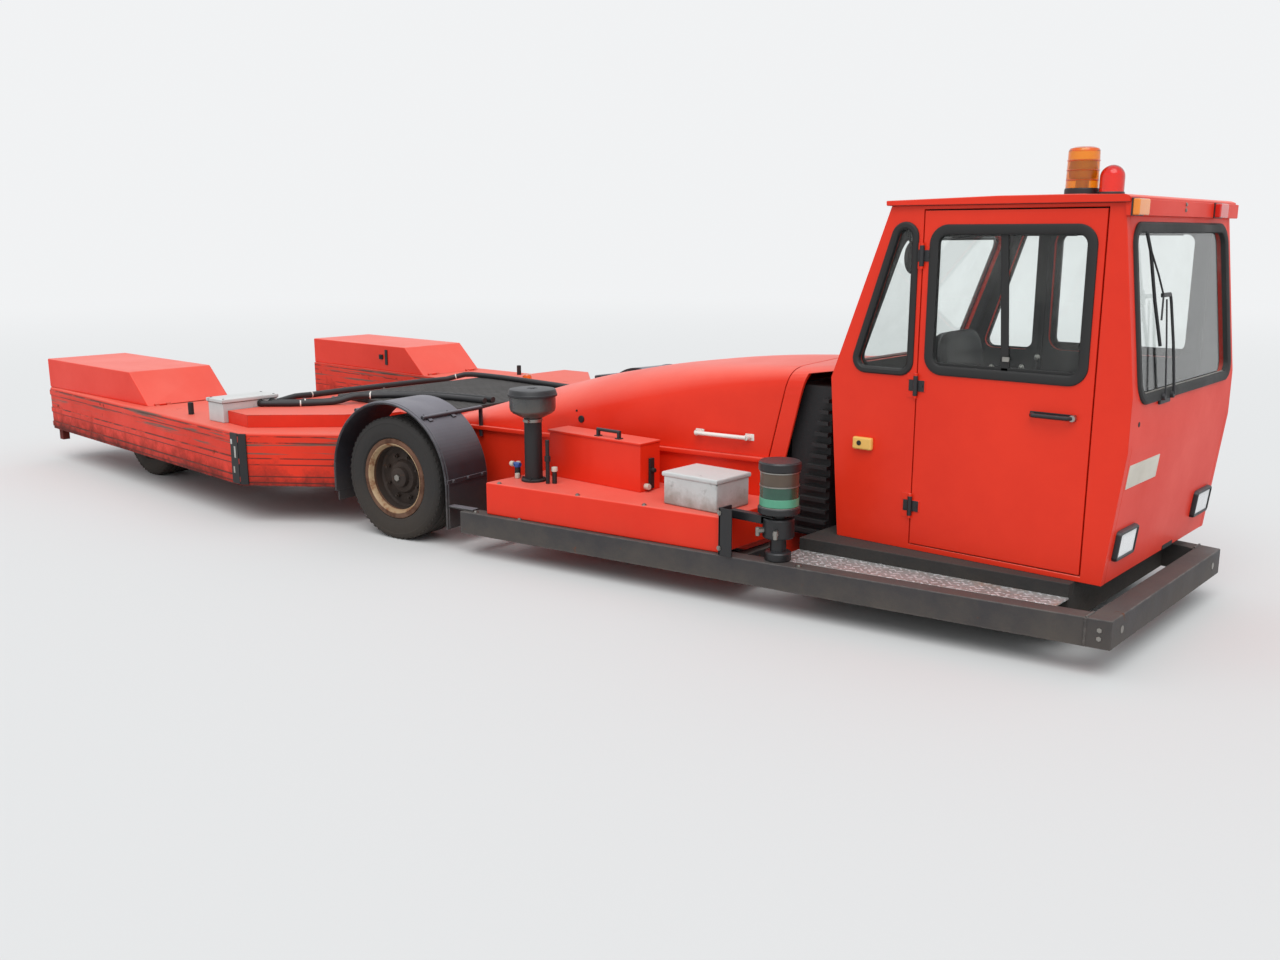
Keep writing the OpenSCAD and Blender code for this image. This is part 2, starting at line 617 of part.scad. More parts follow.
// Rods: front or rear of the hub, distance out from the hub of the bent end
FENDER_RODS = [[1, wall_plane + rod_r + seat_gap], [-1, neck_plane]];
fender_outer_y = 143;
module fender() color("#2c2c30") {
    across(fender_outer_y - fender_w, fender_outer_y) {
        difference() {
            circle(r = fender_r + fender_t, $fn = 128);
            circle(r = fender_r, $fn = 128);
            translate([-2 * fender_r, -2 * fender_r]) square([4 * fender_r, 2 * fender_r]);
        }
        translate([fender_r, flap_z]) square([fender_t, 1 - flap_z]);
        translate([-fender_r - fender_t, -120]) square([fender_t, 121]);
    }
    // Rods over the fender, bent down to the engine bay's wall and to the neck, and tongue on the rail
    for (row = FENDER_RODS) translate([row[0] * rod_reach * cos(rod_deg), 0, rod_reach * sin(rod_deg)]) {
        translate([0, row[1], 0]) rotate([-90, 0, 0]) cylinder(r = rod_r, h = fender_outer_y - 20 - row[1]);
        translate([0, row[1], 0]) sphere(r = rod_r);
        translate([0, row[1], -170]) cylinder(r = rod_r, h = 170);
    }
    translate([fender_r + 2, fender_outer_y - 58, rail_top - hub_z]) cube([190, 50, 10]);
}
module place_fender(side) translate([steer_x, side * steer_track / 2, hub_z])
    mirror([0, side < 0 ? 1 : 0, 0]) rotate([0, 0, -taper_deg]) fender();
module fender_right() place_fender(-1);
module fender_left() place_fender(1);

// Fork

junction_y = 1266;
junction_x = steer_x - 445;
well_l = tyre_d + 70;
well_in_y = bay_half_w + 50;
well_out_y = rear_track / 2 + tyre_w / 2 + 90;
rib_t = 6;

// Outline of the left arm, drawn in by inset on its outer side
module arm_plan(inset) polygon([
    [rear_end, bay_half_w], [rear_end, end_half_w - inset], [corner_x, corner_half_w - inset],
    [junction_x, junction_y - inset], [junction_x - 40, bay_half_w]]);

COVER_HINGES = [bay_half_w + 110, end_half_w - 110];
module arm() color("orangered") {
    for (y = COVER_HINGES) along_y(rear_end + 2 + cover_l + hinge_off, y, arm_top + hinge_r)
        for (k = [-1, 1]) mirror([1, 0, 0])
            foot_piece(k * (hinge_mid + hinge_end + 2) / 2, hinge_end, -1, -hinge_r - 1);
    difference() {
        union() {
            translate([0, 0, arm_z]) linear_extrude(arm_h) arm_plan(rib_t);
            translate([0, 0, arm_top - 1]) linear_extrude(deck_rise + 1) polygon([
                [arm_deck_x, bay_half_w], [arm_deck_x, corner_half_w - 159], [corner_x - 121, corner_half_w - 141],
                [junction_x - 195, junction_y - 176], [junction_x - 40, bay_half_w]]);
            translate([rear_end + 30, end_half_w - 80, arm_z - 85]) cube([60, 50, 86]);
            for (z = [arm_z + 20, arm_z + 130, arm_top - 60]) translate([0, 0, z]) linear_extrude(38)
                intersection() {
                    arm_plan(0);
                    translate([rear_end, 0]) square([corner_x - rear_end, 2 * corner_half_w]);
                }
        }
        translate([rear_axle_x - well_l / 2, well_in_y, arm_z - 1])
            cube([well_l, well_out_y - well_in_y, arm_h + 2]);
    }
}
module arm_left() arm();
module arm_right() mirror([0, 1, 0]) arm();

cover_x = rear_end + 2;
cover_in_y = bay_half_w + 10;
cover_out_y = end_half_w - 10;
cover_z = arm_top + seat_gap;
// Side view of a cover, drawn in by inset
module cover_side(inset) polygon([
    [cover_x + inset, cover_z - (inset > 0 ? 1 : 0)], [cover_x + inset, cover_z + cover_h - inset],
    [cover_x + cover_l - cover_slope - inset / 2, cover_z + cover_h - inset],
    [cover_x + cover_l - inset * 1.4, cover_z - (inset > 0 ? 1 : 0)]]);
module cover() color("orangered") {
    difference() {
        across(cover_in_y, cover_out_y) cover_side(0);
        across(cover_in_y + cover_t, cover_out_y - cover_t) cover_side(cover_t);
    }
    for (y = COVER_HINGES) along_y(cover_x + cover_l + hinge_off, y, arm_top + hinge_r)
        mirror([1, 0, 0]) foot_piece(0, hinge_mid, 1, -hinge_r + seat_gap);
}
module cover_left() cover();
module cover_right() mirror([0, 1, 0]) cover();

motor_r = 110;
motor_l = rear_track / 2 - tyre_w / 2 + 60 - well_in_y;
module motor() translate([rear_axle_x, well_in_y, hub_z]) rotate([-90, 0, 0]) {
    cylinder(r = motor_r, h = motor_l);
    cylinder(r = stub_r, h = rear_track / 2 + 45 - well_in_y);
}
module motor_left() color("#38383b") motor();
module motor_right() color("#38383b") mirror([0, 1, 0]) motor();

module junction_box() color("#9a9b98") translate([arm_deck_x - 188, junction_box_y, arm_top]) {
    cube([180, 380, 126]);
    translate([-8, -8, 125]) cube([196, 396, 24]);
}

// Cradle and gates

cradle_front_x = bay_front_x - 140;
cradle_rear_x = cradle_front_x - cradle_l;
pivot_x = bay_front_x - 70;
pivot_z = arm_z + 60;
pivot_r = 25;
pivot_ys = [-520, 460];
lug_t = 25;
lug_gap = 3;
eye_w = 60;
gate_pin_r = 20;
gate_x = cradle_rear_x + 40;
gate_y = cradle_half_w - 40;
gate_z = cradle_z + cradle_t + seat_gap;
module cradle() color("#3a3a3d") difference() {
    union() {
        translate([cradle_rear_x, -cradle_half_w, cradle_z]) cube([cradle_l, 2 * cradle_half_w, cradle_t]);
        both_sides() translate([cradle_rear_x + 120, cradle_half_w - cradle_t, cradle_z])
            cube([cradle_l - 120, cradle_t, cheek_h]);
        translate([cradle_front_x - cradle_t, -cradle_half_w, cradle_z])
            cube([cradle_t, 2 * cradle_half_w, cheek_h]);
        translate([cradle_rear_x + 130, -cradle_half_w + 60, cradle_z])
            cube([cradle_l - 200, 2 * cradle_half_w - 120, cradle_t + 8]);
        both_sides() translate([gate_x, gate_y, cradle_z]) cylinder(r = gate_pin_r, h = 190);
        for (y = pivot_ys) across(y, y + eye_w) {
            translate([pivot_x, pivot_z]) circle(r = pivot_r + 18);
            translate([cradle_front_x - 1, pivot_z - 40]) square([pivot_x - cradle_front_x, 80]);
        }
    }
    translate([pivot_x, -cradle_half_w, pivot_z]) rotate([-90, 0, 0])
        cylinder(r = pivot_r + pin_fit, h = 2 * cradle_half_w);
}
module gate() color("#3a3a3d") difference() {
    union() {
        translate([gate_x, gate_y, gate_z]) cylinder(r = gate_pin_r + 15, h = 140);
        translate([gate_x - 20, 10, gate_z]) cube([40, gate_y - 10, 140]);
    }
    translate([gate_x, gate_y, 0]) cylinder(r = gate_pin_r + pin_fit, h = 500);
}
module gate_left() gate();
module gate_right() mirror([0, 1, 0]) gate();

// Cab

// Outline of the cab's side, X and Z
front_foot = 62;
front_knee_z = cab_z + 566;
front_lean = 89;
rear_foot = 62;
rear_lean = 283;
module cab_side_outline() polygon([
    [cab_rear_x + rear_foot, cab_z], [cab_rear_x, waist_z], [cab_rear_x + rear_lean, cab_top],
    [cab_front_x - front_lean, cab_top], [cab_front_x, waist_z + 28], [cab_front_x, front_knee_z],
    [cab_front_x - front_foot, cab_z]]);

door_front_x = cab_front_x - 156;
door_rear_x = door_front_x - door_w;
door_z = cab_z + 30;
door_top = cab_top - 22;
module rounded(x0, z0, x1, z1, r) hull() for (x = [x0 + r, x1 - r], z = [z0 + r, z1 - r])
    translate([x, z]) circle(r = r, $fn = 32);
module door_window(grow) rounded(door_rear_x + 42 - grow, cab_z + 824 - grow, door_front_x - 40 + grow,
    door_top - 72 + grow, 70 + grow);
module quarter_window(grow) offset(r = grow + 45, $fn = 32) offset(delta = -45) polygon([
    [cab_rear_x + 121, waist_z + 58], [door_rear_x - 46, waist_z + 58], [door_rear_x - 46, cab_top - 90],
    [door_rear_x - 124, cab_top - 90]]);

// Door hinges, over the cab's underside
HINGE_HEIGHTS = [206, 756, 1326];
hinge_x = door_rear_x - 3;
// Both doors and both side walls are drawn for the right side and mirrored over the cab's middle
module left_of_cab() translate([0, 2 * cab_mid, 0]) mirror([0, 1, 0]) children();
module at_door_hinges() for (h = HINGE_HEIGHTS) translate([hinge_x, -cab_right - hinge_off, cab_z + h]) children();

module side_wall() {
    difference() {
        across(-cab_right, -cab_right + wall_t) difference() {
            cab_side_outline();
            quarter_window(0);
        }
        translate([door_rear_x - door_gap, -cab_right - 1, door_z - door_gap])
            cube([door_w + 2 * door_gap, wall_t + 2, door_top - door_z + 2 * door_gap]);
    }
    at_door_hinges() hinge_fixed();
}
module cab_side_right() color("orangered") side_wall();
module cab_side_left() color("orangered") left_of_cab() side_wall();

module door() {
    across(-cab_right, -cab_right + wall_t) difference() {
        translate([door_rear_x, door_z]) square([door_w, door_top - door_z]);
        door_window(0);
    }
    at_door_hinges() hinge_moving();
}
module door_right() color("orangered") door();
module door_left() color("orangered") left_of_cab() door();

screen_w = 1200;
screen_z = waist_z + 16;
screen_top = cab_top - 102;
rear_window_w = 1040;
// The screen's and the rear window's openings, cut through the whole cab along X
module across_cab(half_w, z0, z1, r) translate([0, cab_mid, 0]) rotate([90, 0, 90])
    linear_extrude(2 * front_end) rounded(-half_w, z0, half_w, z1, r);
module screen_opening(grow) intersection() {
    across_cab(screen_w / 2 + grow, screen_z - grow, screen_top + grow, 70 + grow);
    translate([cab_front_x - 300, -corner_half_w, cab_z]) cube([400, 2 * corner_half_w, cab_h]);
}
module rear_opening(grow) intersection() {
    across_cab(rear_window_w / 2 + grow, waist_z + 60 - grow, cab_top - 132 + grow, 70 + grow);
    translate([cab_rear_x - 10, -corner_half_w, cab_z]) cube([400, 2 * corner_half_w, cab_h]);
}
module cab_front() color("orangered") difference() {
    across(in_right, in_left) difference() {
        intersection() {
            cab_side_outline();
            translate([cab_front_x - 400, cab_z]) square([500, cab_h]);
        }
        translate([-wall_t, 0]) cab_side_outline();
    }
    screen_opening(0);
    lamp_boxes(0, wall_t + 10);
}
module cab_rear() color("orangered") difference() {
    across(in_right, in_left) difference() {
        intersection() {
            cab_side_outline();
            translate([cab_rear_x - 1, cab_z]) square([rear_lean + 1, cab_h]);
        }
        translate([wall_t, 0]) cab_side_outline();
    }
    rear_opening(0);
}
// Roof's front edge behind the cab's front
roof_back = 64;
// Bar across the roof's front edge that carries the marker lamps
bar_down = 50;
bar_up = 14;
lean_per_mm = front_lean / (cab_top - waist_z - 28);
module cab_roof() color("orangered") {
    across(-cab_right - 21, cab_left + 21) polygon([
        [cab_rear_x + rear_lean - 14, cab_top], [cab_rear_x + rear_lean - 16, cab_top + roof_t],
        [cab_rear_x + rear_lean + 500, cab_top + roof_t + 12], [cab_front_x - 240, cab_top + roof_t + 12],
        [cab_front_x - roof_back - 26, cab_top + roof_t + 8],
        [cab_front_x - roof_back - 4, cab_top + roof_t], [cab_front_x - roof_back - 4, cab_top]]);
    across(-cab_right - 10, cab_left + 55) polygon([
        [cab_front_x - front_lean + seat_gap, cab_top], [cab_front_x - front_lean + seat_gap, cab_top + bar_up],
        [cab_front_x - roof_back, cab_top + bar_up], [cab_front_x - roof_back, cab_top - bar_down],
        [cab_front_x - front_lean + lean_per_mm * bar_down + seat_gap, cab_top - bar_down]]);
}

pane_y = -cab_right + 16;
module cab_panes() color([0.6, 0.7, 0.75, 0.4]) {
    across(pane_y, pane_y + pane_t) quarter_window(-seat_gap);
    left_of_cab() across(pane_y, pane_y + pane_t) quarter_window(-seat_gap);
    intersection() {
        across(in_right, in_left) difference() {
            translate([-14, 0]) cab_side_outline();
            translate([-14 - pane_t, 0]) cab_side_outline();
        }
        screen_opening(-seat_gap);
    }
    intersection() {
        across(in_right, in_left) difference() {
            translate([14, 0]) cab_side_outline();
            translate([14 + pane_t, 0]) cab_side_outline();
        }
        rear_opening(-seat_gap);
    }
}
module door_pane() color([0.6, 0.7, 0.75, 0.4]) across(pane_y, pane_y + pane_t) door_window(-seat_gap);
module door_pane_right() door_pane();
module door_pane_left() left_of_cab() door_pane();

seat_x = cab_rear_x + 330;
seat_w = 480;
seat_top = cab_z + 480;
module seat() color("#202022") translate([0, cab_mid - seat_w / 2, 0]) {
    translate([seat_x + 80, 80, cab_floor_z]) cube([320, seat_w - 160, seat_top - 110 - cab_floor_z]);
    translate([seat_x, 0, seat_top - 111]) cube([480, seat_w, 110]);
    translate([seat_x - 20, 15, seat_top - 60]) rotate([0, -8, 0]) cube([90, seat_w - 30, 540]);
}
column_x = cab_front_x - 330;
dash_l = 220;
dash_h = 560;
column_l = 220;
module dash() color("#29292b") {
    translate([column_x, in_right + 60, cab_floor_z]) cube([dash_l, in_left - in_right - 120, dash_h]);
    translate([column_x - 20, cab_mid, cab_z + dash_h]) rotate([0, -35, 0]) cylinder(r = 30, h = column_l);
}
wheel_r = 200;
module hand_wheel() color("#1a1a1b") translate([column_x - 20, cab_mid, cab_z + dash_h]) rotate([0, -35, 0])
    translate([0, 0, column_l + seat_gap]) {
        rotate_extrude() translate([wheel_r - 14, 14]) circle(r = 14, $fn = 24);
        cylinder(r = 45, h = 24);
        for (a = [90, 210, 330]) rotate([0, 0, a]) translate([0, -12, 6]) cube([wheel_r - 14, 24, 12]);
    }

// Lamps

lamp_w = 215;
lamp_h = 122;
lamp_in = 510;
lamp_z = cab_z + 98;
function face_x(z) = cab_front_x - front_foot * (front_knee_z - z) / (front_knee_z - cab_z);
// Both lamps' bodies, drawn in by inset, out of the face by 8 and back by depth
module lamp_boxes(inset, depth) for (side = [-1, 1])
    across(cab_mid + side * lamp_in - lamp_w / 2 + inset, cab_mid + side * lamp_in + lamp_w / 2 - inset) polygon([
        [face_x(lamp_z) - depth, lamp_z + inset], [face_x(lamp_z) + 8, lamp_z + inset],
        [face_x(lamp_z + lamp_h) + 8, lamp_z + lamp_h - inset],
        [face_x(lamp_z + lamp_h) - depth, lamp_z + lamp_h - inset]]);
module headlamps() color("whitesmoke") lamp_boxes(seat_gap, wall_t - 4);

roof_z = cab_top + roof_t + 12;
beacon_x = cab_front_x - 413;
beacon_y = cab_mid - 306;
marker_w = 120;
// Marker lamp on the roof's front edge, its right end at y
module marker_lamp(y) translate([cab_front_x - roof_back + seat_gap, y, cab_top - bar_down + 1])
    cube([30, marker_w, bar_down + bar_up - 2]);
module amber_lamps() color("orange") {
    translate([beacon_x, beacon_y, roof_z]) {
        cylinder(r = 70, h = 36);
        translate([0, 0, 36]) cylinder(r1 = 67, r2 = 64, h = 158);
        translate([0, 0, 194]) cylinder(r1 = 64, r2 = 40, h = 12);
    }
    marker_lamp(-cab_right - 10);
    translate([steer_x - 870, plate_half_w - 60, neck_top]) {
        cylinder(r = 42, h = 16);
        translate([0, 0, 15]) cylinder(r = 34, h = 60);
    }
}
module red_lamps() color("red") {
    translate([beacon_x + 126, beacon_y, roof_z]) {
        cylinder(r = 53, h = 18);
        translate([0, 0, 18]) cylinder(r = 50, h = 60);
        translate([0, 0, 78]) intersection() {
            sphere(r = 50);
            cylinder(r = 51, h = 51);
        }
    }
    marker_lamp(cab_left - marker_w - 206);
}

rail_right();
rail_left();
bumper();
cab_base();
step_plate();
bay_walls();
engine();
hood();
scuttle();
louvres();
side_box_right();
side_box_left();
precleaner();
battery_box();
battery_lid();
tool_box();
fuel_filter();
centre_body();
deck_plate();
deck_hoses();
steer_axle();
knuckle_right();
knuckle_left();
fender_right();
fender_left();
tyre_front_right();
tyre_front_left();
rim_front_right();
rim_front_left();
arm_right();
arm_left();
cover_right();
cover_left();
motor_right();
motor_left();
wheel_rear_right();
wheel_rear_left();
junction_box();
cradle();
gate_right();
gate_left();
cab_front();
cab_rear();
cab_side_right();
cab_side_left();
cab_roof();
door_right();
door_left();
cab_panes();
door_pane_right();
door_pane_left();
seat();
dash();
hand_wheel();
headlamps();
amber_lamps();
red_lamps();
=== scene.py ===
import json
from math import atan2, copysign, cos, degrees, exp, pi, radians, sin, tan, tau

import bmesh
import bpy
from mathutils import Matrix, Vector


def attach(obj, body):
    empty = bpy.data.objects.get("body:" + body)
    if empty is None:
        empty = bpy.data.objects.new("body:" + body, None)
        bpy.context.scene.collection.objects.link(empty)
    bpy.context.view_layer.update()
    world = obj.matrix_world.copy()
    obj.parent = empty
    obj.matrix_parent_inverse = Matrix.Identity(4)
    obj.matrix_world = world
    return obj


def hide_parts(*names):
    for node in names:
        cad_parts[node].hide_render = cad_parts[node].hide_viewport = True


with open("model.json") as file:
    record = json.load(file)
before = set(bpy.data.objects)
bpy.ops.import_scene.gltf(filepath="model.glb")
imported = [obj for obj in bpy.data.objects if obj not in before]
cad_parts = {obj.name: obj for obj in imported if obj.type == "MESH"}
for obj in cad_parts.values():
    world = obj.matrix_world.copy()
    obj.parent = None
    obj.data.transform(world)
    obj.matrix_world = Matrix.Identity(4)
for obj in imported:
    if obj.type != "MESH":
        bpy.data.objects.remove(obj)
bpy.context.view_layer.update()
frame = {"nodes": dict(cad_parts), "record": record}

cad = frame["nodes"]
record = frame["record"]
body_with = {member: body for body, members in record["behaviour"]["bodies"].items() for member in members}
scene = bpy.context.scene

# ---- Where the tractor stands: a plain pale floor, an even bright sky and one broad soft lamp.
# The camera stands by the front right corner, a little under head height, as the photograph was taken.


def add(tree, kind, sockets=None, **settings):
    """A new shader node, whose sockets take a link or a value each"""
    made = tree.nodes.new("ShaderNode" + kind)
    for key, value in settings.items():
        setattr(made, key, value)
    for key, value in (sockets or {}).items():
        if isinstance(value, bpy.types.NodeSocket):
            tree.links.new(value, made.inputs[key])
        else:
            made.inputs[key].default_value = value
    return made


def calc(tree, operation, *values, clamp=False):
    return add(tree, "Math", dict(enumerate(values)), operation=operation, use_clamp=clamp).outputs[0]


def spread(tree, value, low, high, **settings):
    """0 where the value is low and 1 where it is high"""
    return add(tree, "MapRange", {0: value, 1: low, 2: high}, **settings).outputs[0]


def either(tree, share, one, other):
    return add(tree, "MixShader", {0: share, 1: one, 2: other}).outputs[0]


def spot_on(tree):
    return add(tree, "TexCoord").outputs["Object"]


def material(name):
    made = bpy.data.materials.new(name)
    made.use_nodes = True
    made.node_tree.nodes.clear()
    return made, made.node_tree


def linked(name, data):
    made = bpy.data.objects.new(name, data)
    scene.collection.objects.link(made)
    return made


def from_mesh(name, shape):
    mesh = bpy.data.meshes.new(name)
    shape.to_mesh(mesh)
    shape.free()
    return linked(name, mesh)


def seen_rays(tree):
    """1 for rays that the picture shows, also those reflected or through glass"""
    path = add(tree, "LightPath").outputs
    return calc(tree, "MAXIMUM", calc(tree, "MAXIMUM", path["Is Camera Ray"], path["Is Glossy Ray"]),
                path["Is Transmission Ray"])


def looking(direction):
    return Vector(direction).to_track_quat("-Z", "Y").to_euler()


BACKDROP = (0.88, 0.89, 0.9, 1)
FLOOR = (0.66, 0.66, 0.65, 1)
FOCAL_PX = 1156.8
PHOTO_PX = 1280
camera = linked("camera", bpy.data.cameras.new("camera"))
camera.data.sensor_width = 36
camera.data.lens = 36 * FOCAL_PX / PHOTO_PX
camera.location = (5.411, -5.151, 1.724)
camera.rotation_euler = looking((-0.6481, 0.7325, -0.2082))
scene.camera = camera
scene.view_settings.view_transform = "Standard"

ground = bmesh.new()
bmesh.ops.create_grid(ground, x_segments=1, y_segments=1, size=90)
floor = from_mesh("floor", ground)
pale, tree = material("pale_floor")
away = add(tree, "VectorMath", {0: spot_on(tree)}, operation="LENGTH").outputs["Value"]
far_off = spread(tree, away, 6, 26, interpolation_type="SMOOTHSTEP")
mixed = either(tree, calc(tree, "MULTIPLY", far_off, seen_rays(tree)),
               add(tree, "BsdfDiffuse", {"Color": FLOOR}).outputs[0],
               add(tree, "Emission", {"Color": BACKDROP}).outputs[0])
from_below = calc(tree, "MULTIPLY", add(tree, "NewGeometry").outputs["Backfacing"], seen_rays(tree))
add(tree, "OutputMaterial", {"Surface": either(tree, from_below, mixed, add(tree, "BsdfTransparent").outputs[0])})
floor.data.materials.append(pale)

world = bpy.data.worlds.new("overcast")
world.use_nodes = True
scene.world = world
tree = world.node_tree
tree.nodes.clear()
sky = add(tree, "Background", {"Color": (0.93, 0.96, 1, 1), "Strength": 0.82}).outputs[0]
drop = add(tree, "Background", {"Color": BACKDROP, "Strength": 1}).outputs[0]
add(tree, "OutputWorld", {"Surface": either(tree, seen_rays(tree), sky, drop)})
lamp = linked("soft_sun", bpy.data.lights.new("soft_sun", "SUN"))
lamp.data.energy = 1.7
lamp.data.angle = radians(50)
lamp.rotation_euler = looking((-0.35, 0.55, -1))

# ---- Front frame: two heavy bars that close in towards the bumper bar, welded of black painted flat steel.
# Tyres, boots and stones have rubbed the paint grey along the edges, and the top is lighter with dust and painted
# sheen.


def effect(name, output="Mask", **inputs):
    """A node group: its inputs with their usual values, and its one output, a mask or a normal"""
    tree = bpy.data.node_groups.new(name, "ShaderNodeTree")
    for label, value in inputs.items():
        kind = "NodeSocketVector" if isinstance(value, tuple) else "NodeSocketFloat"
        tree.interface.new_socket(label.capitalize(), in_out="INPUT", socket_type=kind).default_value = value
    tree.interface.new_socket(
        output, in_out="OUTPUT", socket_type="NodeSocketFloat" if output == "Mask" else "NodeSocketVector")
    result = tree.nodes.new("NodeGroupOutput").inputs[0]
    return tree, tree.nodes.new("NodeGroupInput").outputs, lambda socket: tree.links.new(socket, result)


def placed(tree, group, **values):
    """The output of a node group that is put into a tree with these values"""
    made = add(tree, "Group", node_tree=group)
    for key, value in values.items():
        made.inputs[key.capitalize()].default_value = value
    return made.outputs[0]


def blended(tree, share, under, over):
    return add(tree, "Mix", {0: share, 6: under, 7: over}, data_type="RGBA").outputs[2]


# Irregular patches of one size, for stains, rust and uneven paint
patches, given, gives = effect("patches", scale=6.0, stretch=(1, 1, 1), low=0.5, high=0.6, detail=5.0)
spot = add(patches, "VectorMath", {0: spot_on(patches), 1: given["Stretch"]}, operation="MULTIPLY").outputs[0]
noise = add(patches, "TexNoise", {
    "Vector": spot, "Scale": given["Scale"], "Detail": given["Detail"], "Roughness": 0.62}).outputs[0]
gives(spread(patches, noise, given["Low"], given["High"]))

# Rubbed edges: where a rounded normal leaves the flat one, broken up by small patches
edge_wear, given, gives = effect("edge_wear", radius=0.006, amount=0.5)
rounded = add(edge_wear, "Bevel", {"Radius": given["Radius"]}, samples=4).outputs[0]
flat = add(edge_wear, "NewGeometry").outputs["Normal"]
turned = add(edge_wear, "VectorMath", {0: rounded, 1: flat}, operation="DOT_PRODUCT").outputs["Value"]
bend = calc(edge_wear, "MULTIPLY", calc(edge_wear, "SUBTRACT", 1.0, turned), 9.0, clamp=True)
broken = calc(edge_wear, "MULTIPLY", bend, placed(edge_wear, patches, scale=22.0, low=0.62, high=0.4))
gives(calc(edge_wear, "MULTIPLY", broken, given["Amount"], clamp=True))

# Road dirt: thick below the low height, gone above the high one, with an uneven upper limit
road_dirt, given, gives = effect("road_dirt", low=0.1, high=0.5)
place = spot_on(road_dirt)
uneven = add(road_dirt, "TexNoise", {"Vector": place, "Scale": 5.0, "Detail": 8.0, "Roughness": 0.7}).outputs[0]
height = calc(road_dirt, "ADD", add(road_dirt, "SeparateXYZ", {0: place}).outputs["Z"], calc(
    road_dirt, "MULTIPLY", calc(road_dirt, "SUBTRACT", uneven, 0.5), 0.45))
gives(spread(road_dirt, height, given["High"], given["Low"]))

# Dust and fading on faces that look up, with painted sheen: the lighter colour also stands for the sky's light on top
# faces
top_dust_and_sheen, given, gives = effect("top_dust_and_sheen", amount=0.5)
upward = add(top_dust_and_sheen, "SeparateXYZ", {0: add(top_dust_and_sheen, "TexCoord").outputs["Normal"]}).outputs["Z"]
faded_and_lit = calc(top_dust_and_sheen, "MULTIPLY", spread(top_dust_and_sheen, upward, 0.25, 0.95), given["Amount"])
cloud = calc(top_dust_and_sheen, "MULTIPLY", placed(top_dust_and_sheen, patches, scale=2.2, low=0.2, high=0.7), 0.4)
gives(calc(top_dust_and_sheen, "MULTIPLY", faded_and_lit, calc(top_dust_and_sheen, "ADD", 0.6, cloud), clamp=True))

# Small relief of a surface: orange peel of paint, grain of moulded plastic, pits of old rubber
relief, given, gives = effect("relief", "Normal", scale=120.0, depth=0.0004)
fine = add(relief, "TexNoise", {
    "Vector": spot_on(relief), "Scale": given["Scale"], "Detail": 4.0, "Roughness": 0.6}).outputs[0]
gives(add(relief, "Bump", {"Height": fine, "Distance": given["Depth"], "Strength": 1.0}).outputs[0])


def srgb(text):
    """A colour from its six hexadecimal digits"""
    parts = [int(text[i:i + 2], 16) / 255 for i in (0, 2, 4)]
    return (*[p / 12.92 if p < 0.04045 else ((p + 0.055) / 1.055) ** 2.4 for p in parts], 1)


def finish_of(name, colour, shade, rough=(0.35, 0.55), metallic=0.0, coat=0.0, specular=0.5, fade_and_sheen=None, wear=None,
              dirt=None, rust=None, scrape=None, rib_shade_lines=(), grain=(160.0, 0.0003), scale=3.0):
    """A painted, moulded or bare surface in a colour and a second shade, with what weather and use have added,
    and with painted sheen on its top faces and painted shade along ribs.

    Each addition starts with its colour. Then the fading, with its painted sheen on top faces, has its amount; wear
    its amount and its reach from the edge; dirt the height where it is full, the height where it ends and its amount;
    rust the range of the noise that it takes; scrape the heights of its band. The rib shade lines are heights where a
    thin line of painted shade runs along a rib's edge.
    """
    made, tree = material(name)

    def times(*values):
        return calc(tree, "MULTIPLY", *values)

    def at_height(height, reach):
        return calc(tree, "COMPARE", add(tree, "SeparateXYZ", {0: spot_on(tree)}).outputs["Z"], height, reach)

    cloudy = placed(tree, patches, scale=scale, low=0.3, high=0.7)
    face = blended(tree, cloudy, srgb(colour), srgb(shade))
    dull = calc(tree, "ADD", rough[0], times(cloudy, rough[1] - rough[0]))
    # Painted sheen with fading and dust: top faces take a lighter colour, which also stands for the sky's light on
    # them
    if fade_and_sheen:
        face = blended(tree, placed(tree, top_dust_and_sheen, amount=fade_and_sheen[1]), face, srgb(fade_and_sheen[0]))
    if dirt:
        soil = times(placed(tree, road_dirt, low=dirt[1], high=dirt[2]), dirt[3])
        face = blended(tree, soil, face, srgb(dirt[0]))
        dull = calc(tree, "ADD", dull, times(soil, 0.4), clamp=True)
    if scrape:
        streaks = placed(tree, patches, scale=2.4, stretch=(0.5, 0.5, 15), detail=8.0, low=0.54, high=0.6)
        band = at_height((scrape[1] + scrape[2]) / 2, (scrape[2] - scrape[1]) / 2)
        face = blended(tree, times(times(streaks, band), 0.85), face, srgb(scrape[0]))
    # Painted shade: thin dark lines at given heights, for the shade along the edges of an arm's ribs
    for level in rib_shade_lines:
        painted_rib_shade = times(at_height(level, 0.004), placed(tree, patches, scale=5.0, low=0.4, high=0.5))
        face = blended(tree, times(painted_rib_shade, 0.75), face, srgb("2b201c"))
    if wear:
        rubbed = placed(tree, edge_wear, amount=wear[1], radius=wear[2] if len(wear) > 2 else 0.006)
        face = blended(tree, rubbed, face, srgb(wear[0]))
    if rust:
        eaten = placed(tree, patches, scale=9.0, detail=9.0, low=rust[1], high=rust[2])
        face = blended(tree, eaten, face, srgb(rust[0]))
        dull = calc(tree, "ADD", dull, times(eaten, 0.4), clamp=True)
    shader = add(tree, "BsdfPrincipled", {
        "Base Color": face, "Roughness": dull, "Metallic": metallic, "Coat Weight": coat, "Coat Roughness": 0.12,
        "Specular IOR Level": specular, "Normal": placed(tree, relief, scale=grain[0], depth=grain[1])})
    add(tree, "OutputMaterial", {"Surface": shader.outputs[0]})
    return made


